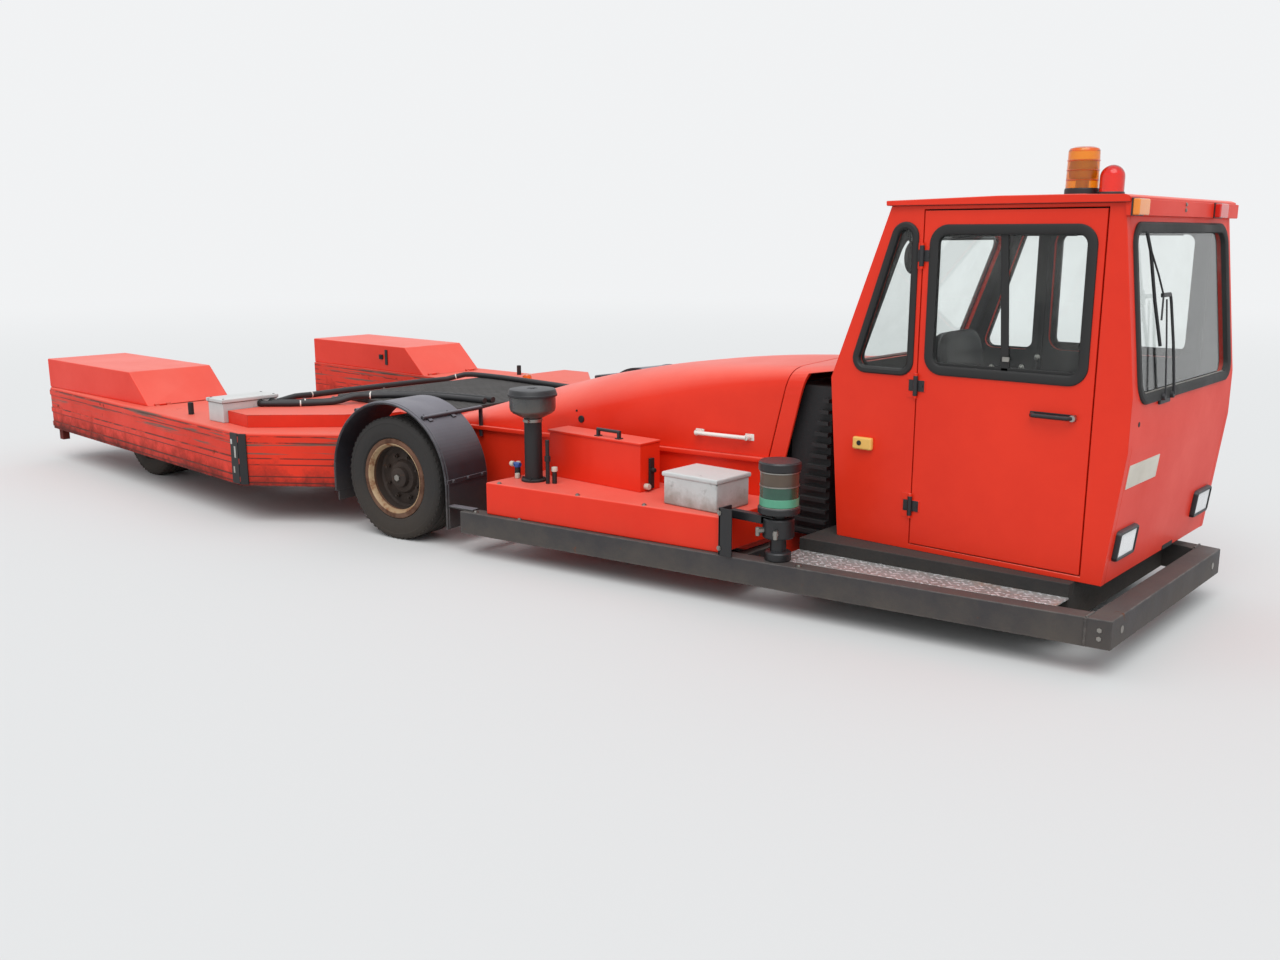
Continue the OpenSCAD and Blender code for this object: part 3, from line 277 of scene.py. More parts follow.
def solid(name, shape, finish, body, angle=32):
    """A new object: smooth but for its sharp edges, in its finish, on the body that it moves with"""
    made = from_mesh(name, shape)
    made.data.materials.append(finish)
    made.data.shade_smooth()
    made.data.set_sharp_from_angle(angle=radians(angle))
    made.modifiers.new("even_normals", "WEIGHTED_NORMAL").keep_sharp = True
    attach(made, body)
    return made


def of_node(name):
    """A merged copy of a CAD node's mesh, with its flat faces joined"""
    shape = bmesh.new()
    shape.from_mesh(cad[name].data)
    bmesh.ops.remove_doubles(shape, verts=shape.verts, dist=2e-5)
    bmesh.ops.dissolve_limit(shape, angle_limit=radians(0.4), verts=shape.verts, edges=shape.edges)
    return shape


def long_edges(shape, least, angle=28, where=None):
    """The sharp outer edges that are longer than least"""
    return [edge for edge in shape.edges
            if len(edge.link_faces) == 2 and edge.calc_length() > least and edge.is_convex
            and edge.calc_face_angle() > radians(angle) and (where is None or where(edge))]


def round_edges(shape, edges, width, segments=2):
    bmesh.ops.bevel(shape, geom=edges, affect="EDGES", offset=width, offset_type="OFFSET", segments=segments,
                    profile=0.5, material=-1, clamp_overlap=False)


def dressed(name, width, finish, least=0.05, segments=2, where=None):
    """Stands for a CAD node: the same shape with its long sharp edges rounded, as pressed or welded sheet has"""
    shape = of_node(name)
    round_edges(shape, long_edges(shape, least, where=where), width, segments)
    made = solid(name + "_dressed", shape, finish, body_with[name])
    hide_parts(name)
    return made


def build(shape, parts):
    """Adds parts to a shape; parts that belong together may stand in a list of their own"""
    for part in parts:
        if callable(part):
            part(shape)
        else:
            build(shape, part)
    return shape


def piece(name, finish, parts, body="chassis", replaces=None, angle=32, turn=None):
    """A solid that the CAD doesn't have, or that stands for a CAD node, from its parts or a ready shape"""
    shape = build(bmesh.new(), parts) if isinstance(parts, list) else parts
    if turn is not None:
        bmesh.ops.transform(shape, matrix=turn, verts=shape.verts)
    bmesh.ops.recalc_face_normals(shape, faces=shape.faces)
    made = solid(name, shape, finish, body, angle)
    if replaces:
        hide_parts(replaces)
    return made


def part(adds):
    """Lets a function that adds to a shape be called without it, in a piece's list of parts"""
    return lambda *values, **named: lambda shape: adds(shape, *values, **named)


def rotated(angle, axis):
    return Matrix.Rotation(radians(angle), 4, axis)


def edges_at(verts):
    return list(dict.fromkeys(edge for vert in verts for edge in vert.link_edges))


@part
def block(shape, centre, size, round_by=0.002, turn=(0, 0, 0), segments=2):
    """A rounded block: its centre, its size and its turn in degrees"""
    place = Matrix.Translation(centre)
    for axis, angle in zip("XYZ", turn):
        place = place @ rotated(angle, axis)
    made = bmesh.ops.create_cube(shape, size=1, matrix=place @ Matrix.Diagonal((*size, 1)))["verts"]
    round_edges(shape, edges_at(made), round_by, segments)


@part
def post(shape, foot, along, radius, sides=24, round_by=0.0):
    """A straight bar: from its foot, along a direction with its length"""
    along = Vector(along)
    place = Matrix.Translation(Vector(foot) + along / 2) @ along.to_track_quat("Z", "Y").to_matrix().to_4x4()
    made = bmesh.ops.create_cone(shape, cap_ends=True, segments=sides, radius1=radius, radius2=radius,
                                 depth=along.length, matrix=place)["verts"]
    if round_by:
        rims = [edge for edge in edges_at(made) if any(len(face.verts) > 4 for face in edge.link_faces)]
        round_edges(shape, rims, round_by)


@part
def hex_bolts(shape, spots, along, radius=0.011, height=0.008):
    """Bolt heads on washers, all pointing one way"""
    along = Vector(along).normalized()
    build(shape, [[post(Vector(spot) - along * 0.002, along * 0.005, radius * 1.45, sides=20),
                   post(spot, along * (height + 0.003), radius, sides=6, round_by=0.0015)] for spot in spots])


SIDES = ((-1, "right"), (1, "left"))
UP = (0, 0, 1)
RAIL_TOP = 0.2445
frame_paint = finish_of(
    "frame_paint", "2b292b", "383536", rough=(0.45, 0.7), fade_and_sheen=("625d59", 0.55), wear=("8c8680", 0.8),
    dirt=("6f6455", 0.06, 0.26, 0.3), rust=("6a3d26", 0.66, 0.72), grain=(90.0, 0.0008))
bare_steel = finish_of("bare_steel", "a5a39e", "87847e", rough=(0.28, 0.5), metallic=0.9,
                       rust=("6b4a36", 0.64, 0.72), grain=(120.0, 0.0004))
for name in ("rail_right", "rail_left", "bumper"):
    dressed(name, 0.005, frame_paint)
piece("frame_bolts", bare_steel, [
    hex_bolts([(3.9, -0.7135, z) for z in (0.2, 0.165)], (0, -1, 0)),
    hex_bolts([(3.944, y, 0.184) for y in (-0.6, 0.6)], (1, 0, 0), height=0.0),
    [hex_bolts([(x, side * y, RAIL_TOP) for x, y in ((0.7, 1.17), (1.0, 1.125), (2.6, 0.885))], UP)
     for side in (-1, 1)]])
piece("weld_seams", frame_paint, [
    [post((3.845, side * 0.7295, 0.126), (0, 0, 0.116), 0.006, sides=10),
     post((3.845, side * 0.726, RAIL_TOP), (0, -side * 0.08, 0), 0.006, sides=10)] for side in (-1, 1)])

# ---- Step beside the cab: aluminium tread plate with raised bars, let in between the rail and the cab's base.
# Boots have polished the bars, and rust from the rail has run over its front half.
tread_plate, tree = material("tread_plate")
place = spot_on(tree)
slants = [add(tree, "Mapping", {"Vector": place, "Rotation": (0, 0, radians(a))}).outputs[0] for a in (45, -45)]
bars = [add(tree, "TexBrick", {
    "Vector": slant, "Color1": (1, 1, 1, 1), "Color2": (1, 1, 1, 1), "Mortar": (0, 0, 0, 1), "Scale": 1.0,
    "Mortar Size": 0.011, "Mortar Smooth": 0.25, "Brick Width": 0.05, "Row Height": 0.03}).outputs["Color"]
    for slant in slants]
squares = add(tree, "TexChecker", {"Vector": slants[0], "Scale": 22.0}).outputs["Fac"]
raised = blended(tree, squares, *bars)
muck = blended(tree, placed(tree, patches, scale=6.0, low=0.35, high=0.75), srgb("b5b4b2"), srgb("8b8985"))
front_half = spread(tree, add(tree, "SeparateXYZ", {0: place}).outputs["X"], 2.9, 3.5)
stain = calc(tree, "MULTIPLY", placed(tree, patches, scale=3.5, low=0.5, high=0.66), front_half)
face = blended(tree, stain, blended(tree, raised, muck, srgb("dededf")), srgb("b07c5c"))
shader = add(tree, "BsdfPrincipled", {
    "Base Color": face, "Metallic": 0.35, "Roughness": calc(tree, "ADD", 0.4, calc(tree, "MULTIPLY", stain, 0.3)),
    "Normal": add(tree, "Bump", {"Height": raised, "Distance": 0.003, "Strength": 1.0}).outputs[0]})
add(tree, "OutputMaterial", {"Surface": shader.outputs[0]})
dressed("step_plate", 0.0015, tread_plate)

# ---- Base under the cab: the dark, set back box that carries the cab over the frame.
# Black underseal with road dust; its folded rim, on which the cab's sill lies, faces up and is lighter with dust and
# painted sheen.
underseal = finish_of("underseal", "1d1c1c", "2a2827", rough=(0.6, 0.85), fade_and_sheen=("4a4642", 0.5),
                      dirt=("4d453b", 0.1, 0.32, 0.5), grain=(60.0, 0.002))
dressed("cab_base", 0.004, underseal)

# ---- Engine bay: red side walls with a folded flange on which the hood lies, and the engine between them.
# The engine shows when the hood is up: an iron block with its cover, air box, belt wheels and pipe.
TAPER = 8.43
# The pink of its top faces is fading and painted sheen
red_paint = finish_of(
    "red_paint", "e43114", "d8290f", rough=(0.42, 0.55), coat=0.08, specular=0.3, fade_and_sheen=("f28575", 0.6),
    wear=("8e2a1c", 0.25), dirt=("8a4a35", 0.0, 0.36, 0.15), grain=(140.0, 0.00025), scale=1.6)
dressed("bay_walls", 0.004, red_paint, least=0.1)
engine_iron = finish_of("engine_iron", "44474a", "2f3133", rough=(0.5, 0.8), metallic=0.2,
                        dirt=("2a2521", 0.2, 0.8, 0.8), grain=(40.0, 0.003))
dressed("engine", 0.02, engine_iron, segments=3)
piece("bay_flange", red_paint, [
    block((1.175, side * 0.5874, 0.607), (2.052, 0.03, 0.024), 0.005, (0, 0, -side * TAPER)) for side in (-1, 1)])
piece("engine_top", engine_iron, [
    block((1.55, 0.02, 0.855), (0.86, 0.2, 0.05), 0.018, segments=3),
    [post((1.18 + 0.145 * k, 0.02, 0.87), (0, 0, 0.022), 0.016, round_by=0.003) for k in range(6)],
    block((1.25, -0.2, 0.858), (0.34, 0.12, 0.06), 0.02, segments=3),
    post((1.62, -0.2, 0.845), (0.36, 0, 0), 0.05, round_by=0.012),
    post((2.152, 0.05, 0.55), (0.025, 0, 0), 0.13, round_by=0.004),
    post((2.152, -0.17, 0.7), (0.025, 0, 0), 0.06, round_by=0.004)])

# ---- Hood: one large pressed steel shell, lifted at its front by a white bar, hinged at its rear edge.
# The fixed strip ahead of it frames the openings beside the radiator, with louvres behind them whose near-black is
# painted shade of the bay.
for name in ("hood", "scuttle"):
    dressed(name, 0.004, red_paint, least=0.2, where=lambda edge: edge.calc_face_angle() > radians(50))
white_paint = finish_of("white_paint", "e8e6df", "d6d3ca", rough=(0.3, 0.5), coat=0.2, wear=("8f8a80", 0.6),
                        rust=("8a5a3c", 0.66, 0.72))
piece("hood_bar", white_paint, [
    post((1.705, -0.531, 0.716), (0.294, 0.0434, 0.0), 0.0105, sides=20),
    [[post((x, y, 0.716), (0.004, 0.036, 0), 0.015, round_by=0.002),
      block((x + 0.003, y + 0.034, 0.716), (0.052, 0.008, 0.036), 0.003, (0, 0, 8.4))]
     for x, y in ((1.708, -0.53), (1.996, -0.488))]], "hood_body")
# Near-black for black parts, and painted shade where it stands in holes and behind the openings at the front
shadow_black = finish_of("shadow_black", "121214", "1c1c1e", rough=(0.5, 0.8), fade_and_sheen=("3c3a38", 0.5),
                         grain=(70.0, 0.001))
piece("hood_lock", shadow_black, [
    post((0.954, -0.612, 0.717), (0, 0.016, 0), 0.02, round_by=0.003),
    post((0.915, -0.604, 0.76), (0, 0.012, 0), 0.006)], "hood_body")
# Painted shade: the louvres take the near-black for the shade of the bay behind them
dressed("louvres", 0.002, shadow_black, least=0.2)

# ---- Side boxes: folded red sheet between the frame and the hood, one on each side, carrying the small units.
# Their tops are lighter with dust and painted sheen, and bolts hold them to the frame.
SIDE_DECK = 0.4195
for name in ("side_box_right", "side_box_left"):
    dressed(name, 0.008, red_paint, segments=3)
piece("side_box_bolts", bare_steel, [
    hex_bolts([(x, 0.1482 * (x - 0.611) - 1.164, 0.42) for x in (0.85, 1.36, 1.76)], UP, 0.009, 0.006),
    hex_bolts([(0.7705, -1.02, z) for z in (0.3, 0.38)], (-1, 0, 0), 0.009, 0.006)])

# ---- Air precleaner: a black steel pipe up to a dark moulded bowl with a flanged cap, which spins dust out.
# A bright band clamps the bowl, and small valves stand at the pipe's foot on the side box.


def ring_of(count, shift=0):
    """Angles evenly round a circle"""
    return [tau * (k + shift) / count for k in range(count)]


def around(centre, radius, angle, height):
    return centre[0] + radius * cos(angle), centre[1] + radius * sin(angle), height


def fins(centre, radius, height, size, round_by, angles, segments=2):
    """Small blocks round an upright axis, each turned to it"""
    return [block(around(centre, radius, angle, height), size, round_by, (0, 0, degrees(angle)), segments)
            for angle in angles]


@part
def spun(shape, profile, centre=(0, 0, 0), steps=48, place=None):
    """A turned part: radius and height pairs, turned round the upright axis"""
    before = set(shape.verts)
    line = [shape.verts.new((radius, 0, height)) for radius, height in profile]
    edges = [shape.edges.new(pair) for pair in zip(line, line[1:])]
    bmesh.ops.spin(shape, geom=line + edges, cent=(0, 0, 0), axis=UP, angle=tau, steps=steps, use_merge=True)
    bmesh.ops.remove_doubles(shape, verts=[vert for vert in shape.verts if vert not in before], dist=1e-5)
    bmesh.ops.transform(shape, matrix=Matrix.Translation(centre) if place is None else place,
                        verts=[vert for vert in shape.verts if vert not in before])


def band(inner, outer, low, high):
    """The closed profile of a flat ring"""
    return [(inner, low), (outer, low), (outer, high), (inner, high), (inner, low)]


STACK = (0.929, -0.95, 0)
black_plastic = finish_of("black_plastic", "19191b", "242427", rough=(0.38, 0.55), fade_and_sheen=("55565a", 0.55),
                          dirt=("3b342c", 0.1, 0.4, 0.3), grain=(160.0, 0.0006))
smoke_plastic = finish_of("smoke_plastic", "3a3d40", "2a2c2e", rough=(0.15, 0.35), coat=0.4, fade_and_sheen=("7d7f80", 0.4),
                          dirt=("6d6252", 0.7, 0.9, 0.5))
piece("stack_pipe", shadow_black, [
    spun([(0, 0.4205), (0.068, 0.4205), (0.068, 0.431), (0.064, 0.434), (0.048, 0.435), (0.047, 0.765), (0, 0.766)],
         STACK),
    hex_bolts([around(STACK, 0.058, angle, 0.434) for angle in (0.5, 2.1, 3.7, 5.2)], UP, 0.006, 0.004)],
    replaces="precleaner")
piece("precleaner_bowl", smoke_plastic, [
    spun([(0, 0.764), (0.051, 0.764), (0.057, 0.766), (0.105, 0.79), (0.118, 0.802), (0.122, 0.812),
          (0.122, 0.878), (0.117, 0.882), (0, 0.883)], STACK, 64),
    fins(STACK, 0.1205, 0.845, (0.005, 0.01, 0.055), 0.002, ring_of(10, 0.3))])
piece("precleaner_cap", black_plastic, [
    spun([(0, 0.879), (0.128, 0.879), (0.1325, 0.8825), (0.1325, 0.892), (0.1295, 0.896), (0.1265, 0.911),
          (0.121, 0.918), (0.105, 0.921), (0.034, 0.9215), (0.029, 0.921), (0.026, 0.918), (0, 0.918)], STACK, 64),
    post((*STACK[:2], 0.916), (0, 0, 0.0055), 0.011, sides=6)])
piece("pipe_clamp", bare_steel, [
    spun([(0.0465, 0.742), (0.0505, 0.742), (0.0515, 0.744), (0.0515, 0.757), (0.0505, 0.759), (0.0465, 0.759),
          (0.0465, 0.742)], STACK),
    block((0.939, -1.006, 0.7505), (0.03, 0.012, 0.016), 0.002),
    post((0.915, -1.007, 0.7505), (0.044, 0, 0), 0.004, sides=12)])
blue_plastic = finish_of("blue_plastic", "2b54a0", "224687", rough=(0.35, 0.5), grain=(120.0, 0.0003))
cream_plastic = finish_of("cream_plastic", "dcd8cc", "c4bfb2", rough=(0.4, 0.6), dirt=("8b7c66", 0.3, 0.9, 0.4))
piece("valve_stems", shadow_black, [
    post((x, y, foot), (0, 0, tall), radius, sides, 0.002) for x, y, foot, tall, radius, sides in (
        (0.806, -0.955, SIDE_DECK, 0.06, 0.016, 24), (1.045, -0.958, SIDE_DECK, 0.236, 0.011, 24),
        (1.045, -0.958, 0.54, 0.03, 0.017, 6), (1.068, -0.93, SIDE_DECK, 0.065, 0.013, 24),
        (0.785, -0.93, SIDE_DECK, 0.06, 0.01, 24))])
piece("blue_tap", blue_plastic, [
    post((0.785, -0.955, 0.492), (0.042, 0, 0), 0.013, round_by=0.003),
    post((0.806, -0.955, 0.478), (0, 0, 0.022), 0.019, round_by=0.004)])
piece("cream_taps", cream_plastic, [
    post(foot, along, radius, round_by=0.005) for foot, along, radius in (
        ((0.778, -0.955, 0.492), (-0.026, 0, 0), 0.015), ((0.785, -0.93, 0.478), (0, 0, 0.026), 0.014),
        ((0.822, -0.972, SIDE_DECK), (0, 0, 0.03), 0.014), ((1.068, -0.93, 0.484), (0, 0, 0.026), 0.017))])

# ---- Battery box: a welded red steel box with two batteries, shut by a lid that hinges away from the driver's side.
# A black latch at its end holds the lid down, and a black bar lifts it.
LID_TOP = 0.6805
dressed("battery_box", 0.003, red_paint, least=0.15)
lid = of_node("battery_lid")
bmesh.ops.delete(lid, geom=[f for f in lid.faces if f.calc_center_median().z > LID_TOP], context="FACES_ONLY")
bmesh.ops.delete(lid, geom=[v for v in lid.verts if not v.link_faces], context="VERTS")
bmesh.ops.holes_fill(lid, edges=[e for e in lid.edges if e.is_boundary], sides=0)
bmesh.ops.dissolve_limit(lid, angle_limit=radians(1), verts=lid.verts, edges=lid.edges)
round_edges(lid, long_edges(lid, 0.1), 0.004)
piece("battery_lid_dressed", red_paint, lid, "battery_cover", "battery_lid")
piece("battery_grip", black_plastic, [
    post((1.241, -0.78, 0.715), (0.166, 0, 0), 0.009, round_by=0.002),
    [[block((x, -0.78, 0.699), (0.016, 0.02, 0.04), 0.004), block((x, -0.78, 0.682), (0.03, 0.034, 0.005), 0.001)]
     for x in (1.25, 1.398)]], "battery_cover")
piece("battery_knob", cream_plastic, [post((1.562, -0.76, 0.448), (0.03, 0, 0), 0.016, round_by=0.004)])
piece("battery_end_latch", shadow_black, [
    block((1.5695, -0.72, 0.511), (0.014, 0.035, 0.162), 0.004),
    post((1.566, -0.72, 0.53), (0.03, 0, 0), 0.012, round_by=0.003)])

# ---- Tool box: a grey moulded case with an overlapping lid, standing on the side box.
# Its speckled plastic is scuffed and dusty at the foot.
box_grey = finish_of(
    "box_grey", "c9cac8", "b4b5b3", rough=(0.45, 0.65), fade_and_sheen=("dcdcd9", 0.5), wear=("8c8b88", 0.3),
    dirt=("7d7568", 0.4, 0.52, 0.7), rust=("8a8a86", 0.6, 0.7), grain=(110.0, 0.0012))
dressed("tool_box", 0.009, box_grey, segments=3)

# ---- Fuel filter: black ribbed cap over a dark green bowl with a brown element in it, on a black angle post.
# Bright bands and elbows below it join the fuel pipes.
FILTER = (2.459, -0.85, 0)
filter_black = finish_of("filter_black", "141416", "1e1e20", rough=(0.3, 0.5), fade_and_sheen=("4a4b4e", 0.5),
                         grain=(150.0, 0.0004))
bottle_green = finish_of("bottle_green", "245a45", "1a3f31", rough=(0.08, 0.2), coat=0.5)
band_green = finish_of("band_green", "5fae8c", "47866c", rough=(0.2, 0.4))
element_brown = finish_of("element_brown", "5b4a3a", "43372c", rough=(0.3, 0.5), coat=0.3)
piece("filter_body", filter_black, [
    spun([(0, 0.246), (0.06, 0.246), (0.062, 0.249), (0.062, 0.28), (0.058, 0.286), (0.038, 0.29), (0.038, 0.35),
          (0.07, 0.354), (0.074, 0.36), (0.074, 0.44), (0.07, 0.446), (0.04, 0.45), (0.04, 0.468), (0.094, 0.47),
          (0.098, 0.474), (0.098, 0.498), (0.094, 0.502), (0, 0.503)], FILTER, 56),
    spun([(0, 0.666), (0.0905, 0.666), (0.098, 0.674), (0.098, 0.706), (0.092, 0.713), (0.05, 0.7145), (0, 0.7145)],
         FILTER, 56),
    fins(FILTER, 0.096, 0.69, (0.004, 0.007, 0.03), 0.001, ring_of(28)),
    block((2.211, -0.93, 0.36), (0.012, 0.09, 0.229), 0.002),
    block((2.245, -0.9725, 0.36), (0.075, 0.005, 0.229), 0.001),
    block((2.34, -0.885, 0.435), (0.25, 0.04, 0.04), 0.003),
    block((2.425, -0.88, 0.435), (0.06, 0.05, 0.04), 0.004)], replaces="fuel_filter")
for name, finish, profile in (
        ("bowl", bottle_green, [(0, 0.5), (0.086, 0.5), (0.09, 0.506), (0.09, 0.6), (0, 0.601)]),
        ("band", band_green, [(0.0895, 0.507), (0.0915, 0.509), (0.0915, 0.544), (0.0895, 0.546), (0.0895, 0.507)]),
        ("element", element_brown, [(0, 0.6), (0.0895, 0.6), (0.0895, 0.667), (0, 0.668)])):
    piece("filter_" + name, finish, [spun(profile, FILTER, 56)])
piece("filter_fittings", bare_steel, [
    [spun(band(0.088, 0.0925, z, z + 0.006), FILTER, 56) for z in (0.5, 0.599, 0.663)],
    [[post(around(FILTER, 0.06, angle, 0.39), around((0, 0), 0.045, angle, 0), 0.014, 6, 0.002),
      post(around(FILTER, 0.1, angle, 0.405), (0, 0, -0.04), 0.011, round_by=0.002)] for angle in (-2.2, -1.1)],
    hex_bolts([(2.211, -0.9755, z) for z in (0.28, 0.45)], (0, -1, 0), 0.008, 0.005)])

# ---- Cab: a welded steel box on the frame's front, with a door hinged at the rear edge on each side.
# A thin roof sheet lies on it, and a bar over the screen carries the marker lamps; two bolts hold the bar.
CAB_Y = 0.206


def mirrored(side):
    """The right side's place for -1, and its mirror over the cab's middle plane for 1"""
    return Matrix() if side < 0 else Matrix.Translation((0, 2 * CAB_Y, 0)) @ Matrix.Diagonal((1, -1, 1, 1))


def facing(origin, across, up):
    """The place of a flat face: across and up in it, and its normal out of it"""
    across, up = Vector(across).normalized(), Vector(up).normalized()
    return Matrix.Translation(origin) @ Matrix((across, up, across.cross(up))).transposed().to_4x4()


def fillet(points, radius, steps=6):
    """A closed convex outline, anticlockwise, with its corners rounded"""
    out = []
    for before, corner, after in zip(points[-1:] + points[:-1], points, points[1:] + points[:1]):
        corner = Vector(corner)
        one, two = (Vector(before) - corner).normalized(), (Vector(after) - corner).normalized()
        half = one.angle(two) / 2
        middle = corner + (one + two).normalized() * (radius / sin(half))
        first, last = [corner + way * (radius / tan(half)) - middle for way in (one, two)]
        start = atan2(first.y, first.x)
        sweep = (atan2(last.y, last.x) - start) % tau
        out += [middle + radius * Vector((cos(angle), sin(angle)))
                for angle in [start + sweep * k / steps for k in range(steps + 1)]]
    return out


def oblong(left, low, right, high, radius, steps=6):
    return fillet([(left, low), (right, low), (right, high), (left, high)], radius, steps)


@part
def framed(shape, outline, section, place):
    """A moulding swept round a closed outline; section pairs go outwards across it and out of its face"""
    rings = []
    for behind, spot, ahead in zip(outline[-1:] + outline[:-1], outline, outline[1:] + outline[:1]):
        one, two = (spot - behind).normalized(), (ahead - spot).normalized()
        out = Vector((one.y + two.y, -one.x - two.x)).normalized()
        rings.append([shape.verts.new(place @ Vector((*(spot + out * across), rise))) for across, rise in section])
    for one, two in zip(rings, rings[1:] + rings[:1]):
        for k in range(len(section)):
            shape.faces.new((one[k], one[k - 1], two[k - 1], two[k]))


@part
def rod(shape, route, radius, sides=12, closed=False):
    """A round bar bent along a route of points"""
    route = [Vector(spot) for spot in route]
    count = len(route)
    rings, turn = [], None
    for k, spot in enumerate(route):
        ahead = route[(k + 1) % count] if closed or k < count - 1 else spot
        behind = route[k - 1] if closed or k > 0 else spot
        along = (ahead - behind).normalized()
        if turn is None:
            turn = along.to_track_quat("Z", "Y")
        else:
            turn = (turn @ Vector(UP)).rotation_difference(along) @ turn
        rings.append([shape.verts.new(spot + turn @ Vector(around((0, 0), radius, angle, 0)))
                      for angle in ring_of(sides)])
    for one, two in zip(rings, rings[1:] + (rings[:1] if closed else [])):
        for j in range(sides):
            shape.faces.new((one[j - 1], one[j], two[j], two[j - 1]))
    if not closed:
        shape.faces.new(rings[0][::-1])
        shape.faces.new(rings[-1])


# Painted shade: the dark grey that the faces inside the cab take, for the shade inside it
inner_shade_paint = finish_of("cab_inner_shade", "2a2a2c", "353536", rough=(0.6, 0.85), grain=(120.0, 0.0008))


def inner_shade_on(target, inside):
    """Paints the faces that look into the cab dark grey, as painted shade of the cab's inside"""
    target.data.materials.append(inner_shade_paint)
    for face in target.data.polygons:
        if inside(face.center, face.normal):
            face.material_index = 1


def side_inside(spot, normal):
    return abs(spot.y - CAB_Y) < 0.65 and abs(normal.y) > 0.9


def roof_inside(spot, normal):
    return normal.z < -0.8 and spot.z > 1.83 and abs(spot.y - CAB_Y) < 0.8 and spot.x < 3.78


# The cab's walls and roof take the painted shade on their inner faces
for name, width, inside in (
        ("side_right", 0.003, side_inside), ("side_left", 0.003, side_inside),
        ("front", 0.003, lambda spot, normal: normal.x < -0.8), ("rear", 0.003, lambda spot, normal: normal.x > 0.8),
        ("roof", 0.004, roof_inside)):
    inner_shade_on(dressed("cab_" + name, width, red_paint, least=0.3), inside)
piece("bar_bolts", bare_steel, [
    hex_bolts([(3.801, 0.167, z) for z in (1.845, 1.822)], (1, 0, 0), 0.007, 0.005)])
FACE_LOW = facing((3.8234, CAB_Y, 0.463), (0, 1, 0), (0.062, 0, 0.566))
piece("badge_blank", cream_plastic, [
    block((-0.449, 0.298, 0.001), (0.36, 0.1, 0.003), 0.001),
    block((-0.449, 0.298, 0.0025), (0.32, 0.076, 0.002), 0.0005)], turn=FACE_LOW)
# Painted shade: dark discs and a dark strip in the front's holes and slot, for the shade inside them
piece("front_hole_shades", shadow_black, [
    post((3.8665, -0.378, 0.973), (0.003, 0, 0), 0.011, round_by=0.001),
    block((3.808, 0.34, 0.316), (0.006, 0.137, 0.022), 0.003)])

# ---- Doors: flush steel leaves on three black hinges each, with a black pull handle and a lock button.
# A small knob box is let into the wall behind each door.
WALL = facing((0, -0.479, 0), (1, 0, 0), UP)
HINGES = (0.51, 1.06, 1.63)
HANDLE_Z = 0.987
knob_yellow = finish_of("knob_yellow", "e8b862", "d6a24c", rough=(0.4, 0.6), grain=(120.0, 0.0004))
piece("door_seals", shadow_black, [
    framed(oblong(2.93, 0.334, 3.712, 1.822, 0.004, 2),
           [(0.014, -0.0395), (0.014, -0.048), (-0.014, -0.048), (-0.014, -0.0405), (0.0, -0.0395)],
           mirrored(side) @ WALL) for side in (-1, 1)])
for side, hand in SIDES:
    # The door's inner face takes the painted shade of the cab's inside
    inner_shade_on(dressed("door_" + hand, 0.002, red_paint, least=0.3), side_inside)
    for name, finish, body, parts in (
            ("door_fittings_", black_plastic, hand + "_door", [
                [[block((2.95, -0.4815, z), (0.034, 0.006, 0.05), 0.002),
                  post((2.956, -0.484, z), (0, -0.004, 0), 0.006, sides=12)] for z in HINGES],
                block((3.5545, -0.4805, HANDLE_Z), (0.195, 0.004, 0.026), 0.0015),
                rod([(x, y, HANDLE_Z) for x, y in (
                    (3.47, -0.48), (3.472, -0.502), (3.48, -0.512), (3.555, -0.514), (3.628, -0.512),
                    (3.636, -0.502), (3.638, -0.48))], 0.009)]),
            ("door_lock_", bare_steel, hand + "_door", [
                post((3.642, -0.481, HANDLE_Z), (0, -0.022, 0), 0.014, round_by=0.003)]),
            ("door_pins_", black_plastic, "chassis", [
                [post((2.927, -0.4885, z - 0.045), (0, 0, 0.09), 0.0105, round_by=0.002),
                 block((2.906, -0.4815, z), (0.03, 0.006, 0.05), 0.002)] for z in HINGES]),
            ("knob_box_", knob_yellow, "chassis", [
                block((2.673, -0.491, 0.77), (0.1, 0.028, 0.058), 0.009, segments=3)]),
            # Painted shade: a dark disc for the shade in the knob box's hole
            ("knob_hole_", shadow_black, "chassis", [
                post((2.66, -0.504, 0.772), (0, -0.003, 0), 0.012, round_by=0.001)])):
        piece(name + hand, finish, parts, body, turn=mirrored(side))

# ---- Windows: toughened panes in thick black rubber, and a sliding pane with a dark bar in each door.
# The rubber has gone matt, and its tops are lighter with dust and painted sheen; light passes through the panes.
cab_glass, tree = material("cab_glass")
path = add(tree, "LightPath").outputs
smear = calc(tree, "MULTIPLY", placed(tree, patches, scale=4.0, low=0.4, high=0.8), 0.05)
clear = add(tree, "BsdfPrincipled", {
    "Base Color": (0.93, 0.96, 0.95, 1), "Roughness": 0.02, "Transmission Weight": 1.0, "IOR": 1.3, "Metallic": 0.0})
hazed = either(tree, smear, clear.outputs[0], add(tree, "BsdfDiffuse", {"Color": (0.62, 0.6, 0.56, 1)}).outputs[0])
mixed = either(tree, calc(tree, "MAXIMUM", path["Is Shadow Ray"], path["Is Diffuse Ray"]), hazed,
               add(tree, "BsdfTransparent", {"Color": (0.9, 0.93, 0.92, 1)}).outputs[0])
add(tree, "OutputMaterial", {"Surface": mixed})
for name in ("cab_panes", "door_pane_right", "door_pane_left"):
    dressed(name, 0.001, cab_glass, least=0.5, segments=1)
window_rubber = finish_of("window_rubber", "151515", "202020", rough=(0.5, 0.75), fade_and_sheen=("4a4a49", 0.5),
                          grain=(90.0, 0.0008))
OUTER_RUBBER = [(0.030, -0.001), (0.028, 0.006), (0.02, 0.011), (0.0, 0.011), (-0.012, 0.005), (-0.014, -0.016),
                (-0.002, -0.016), (-0.002, -0.001)]
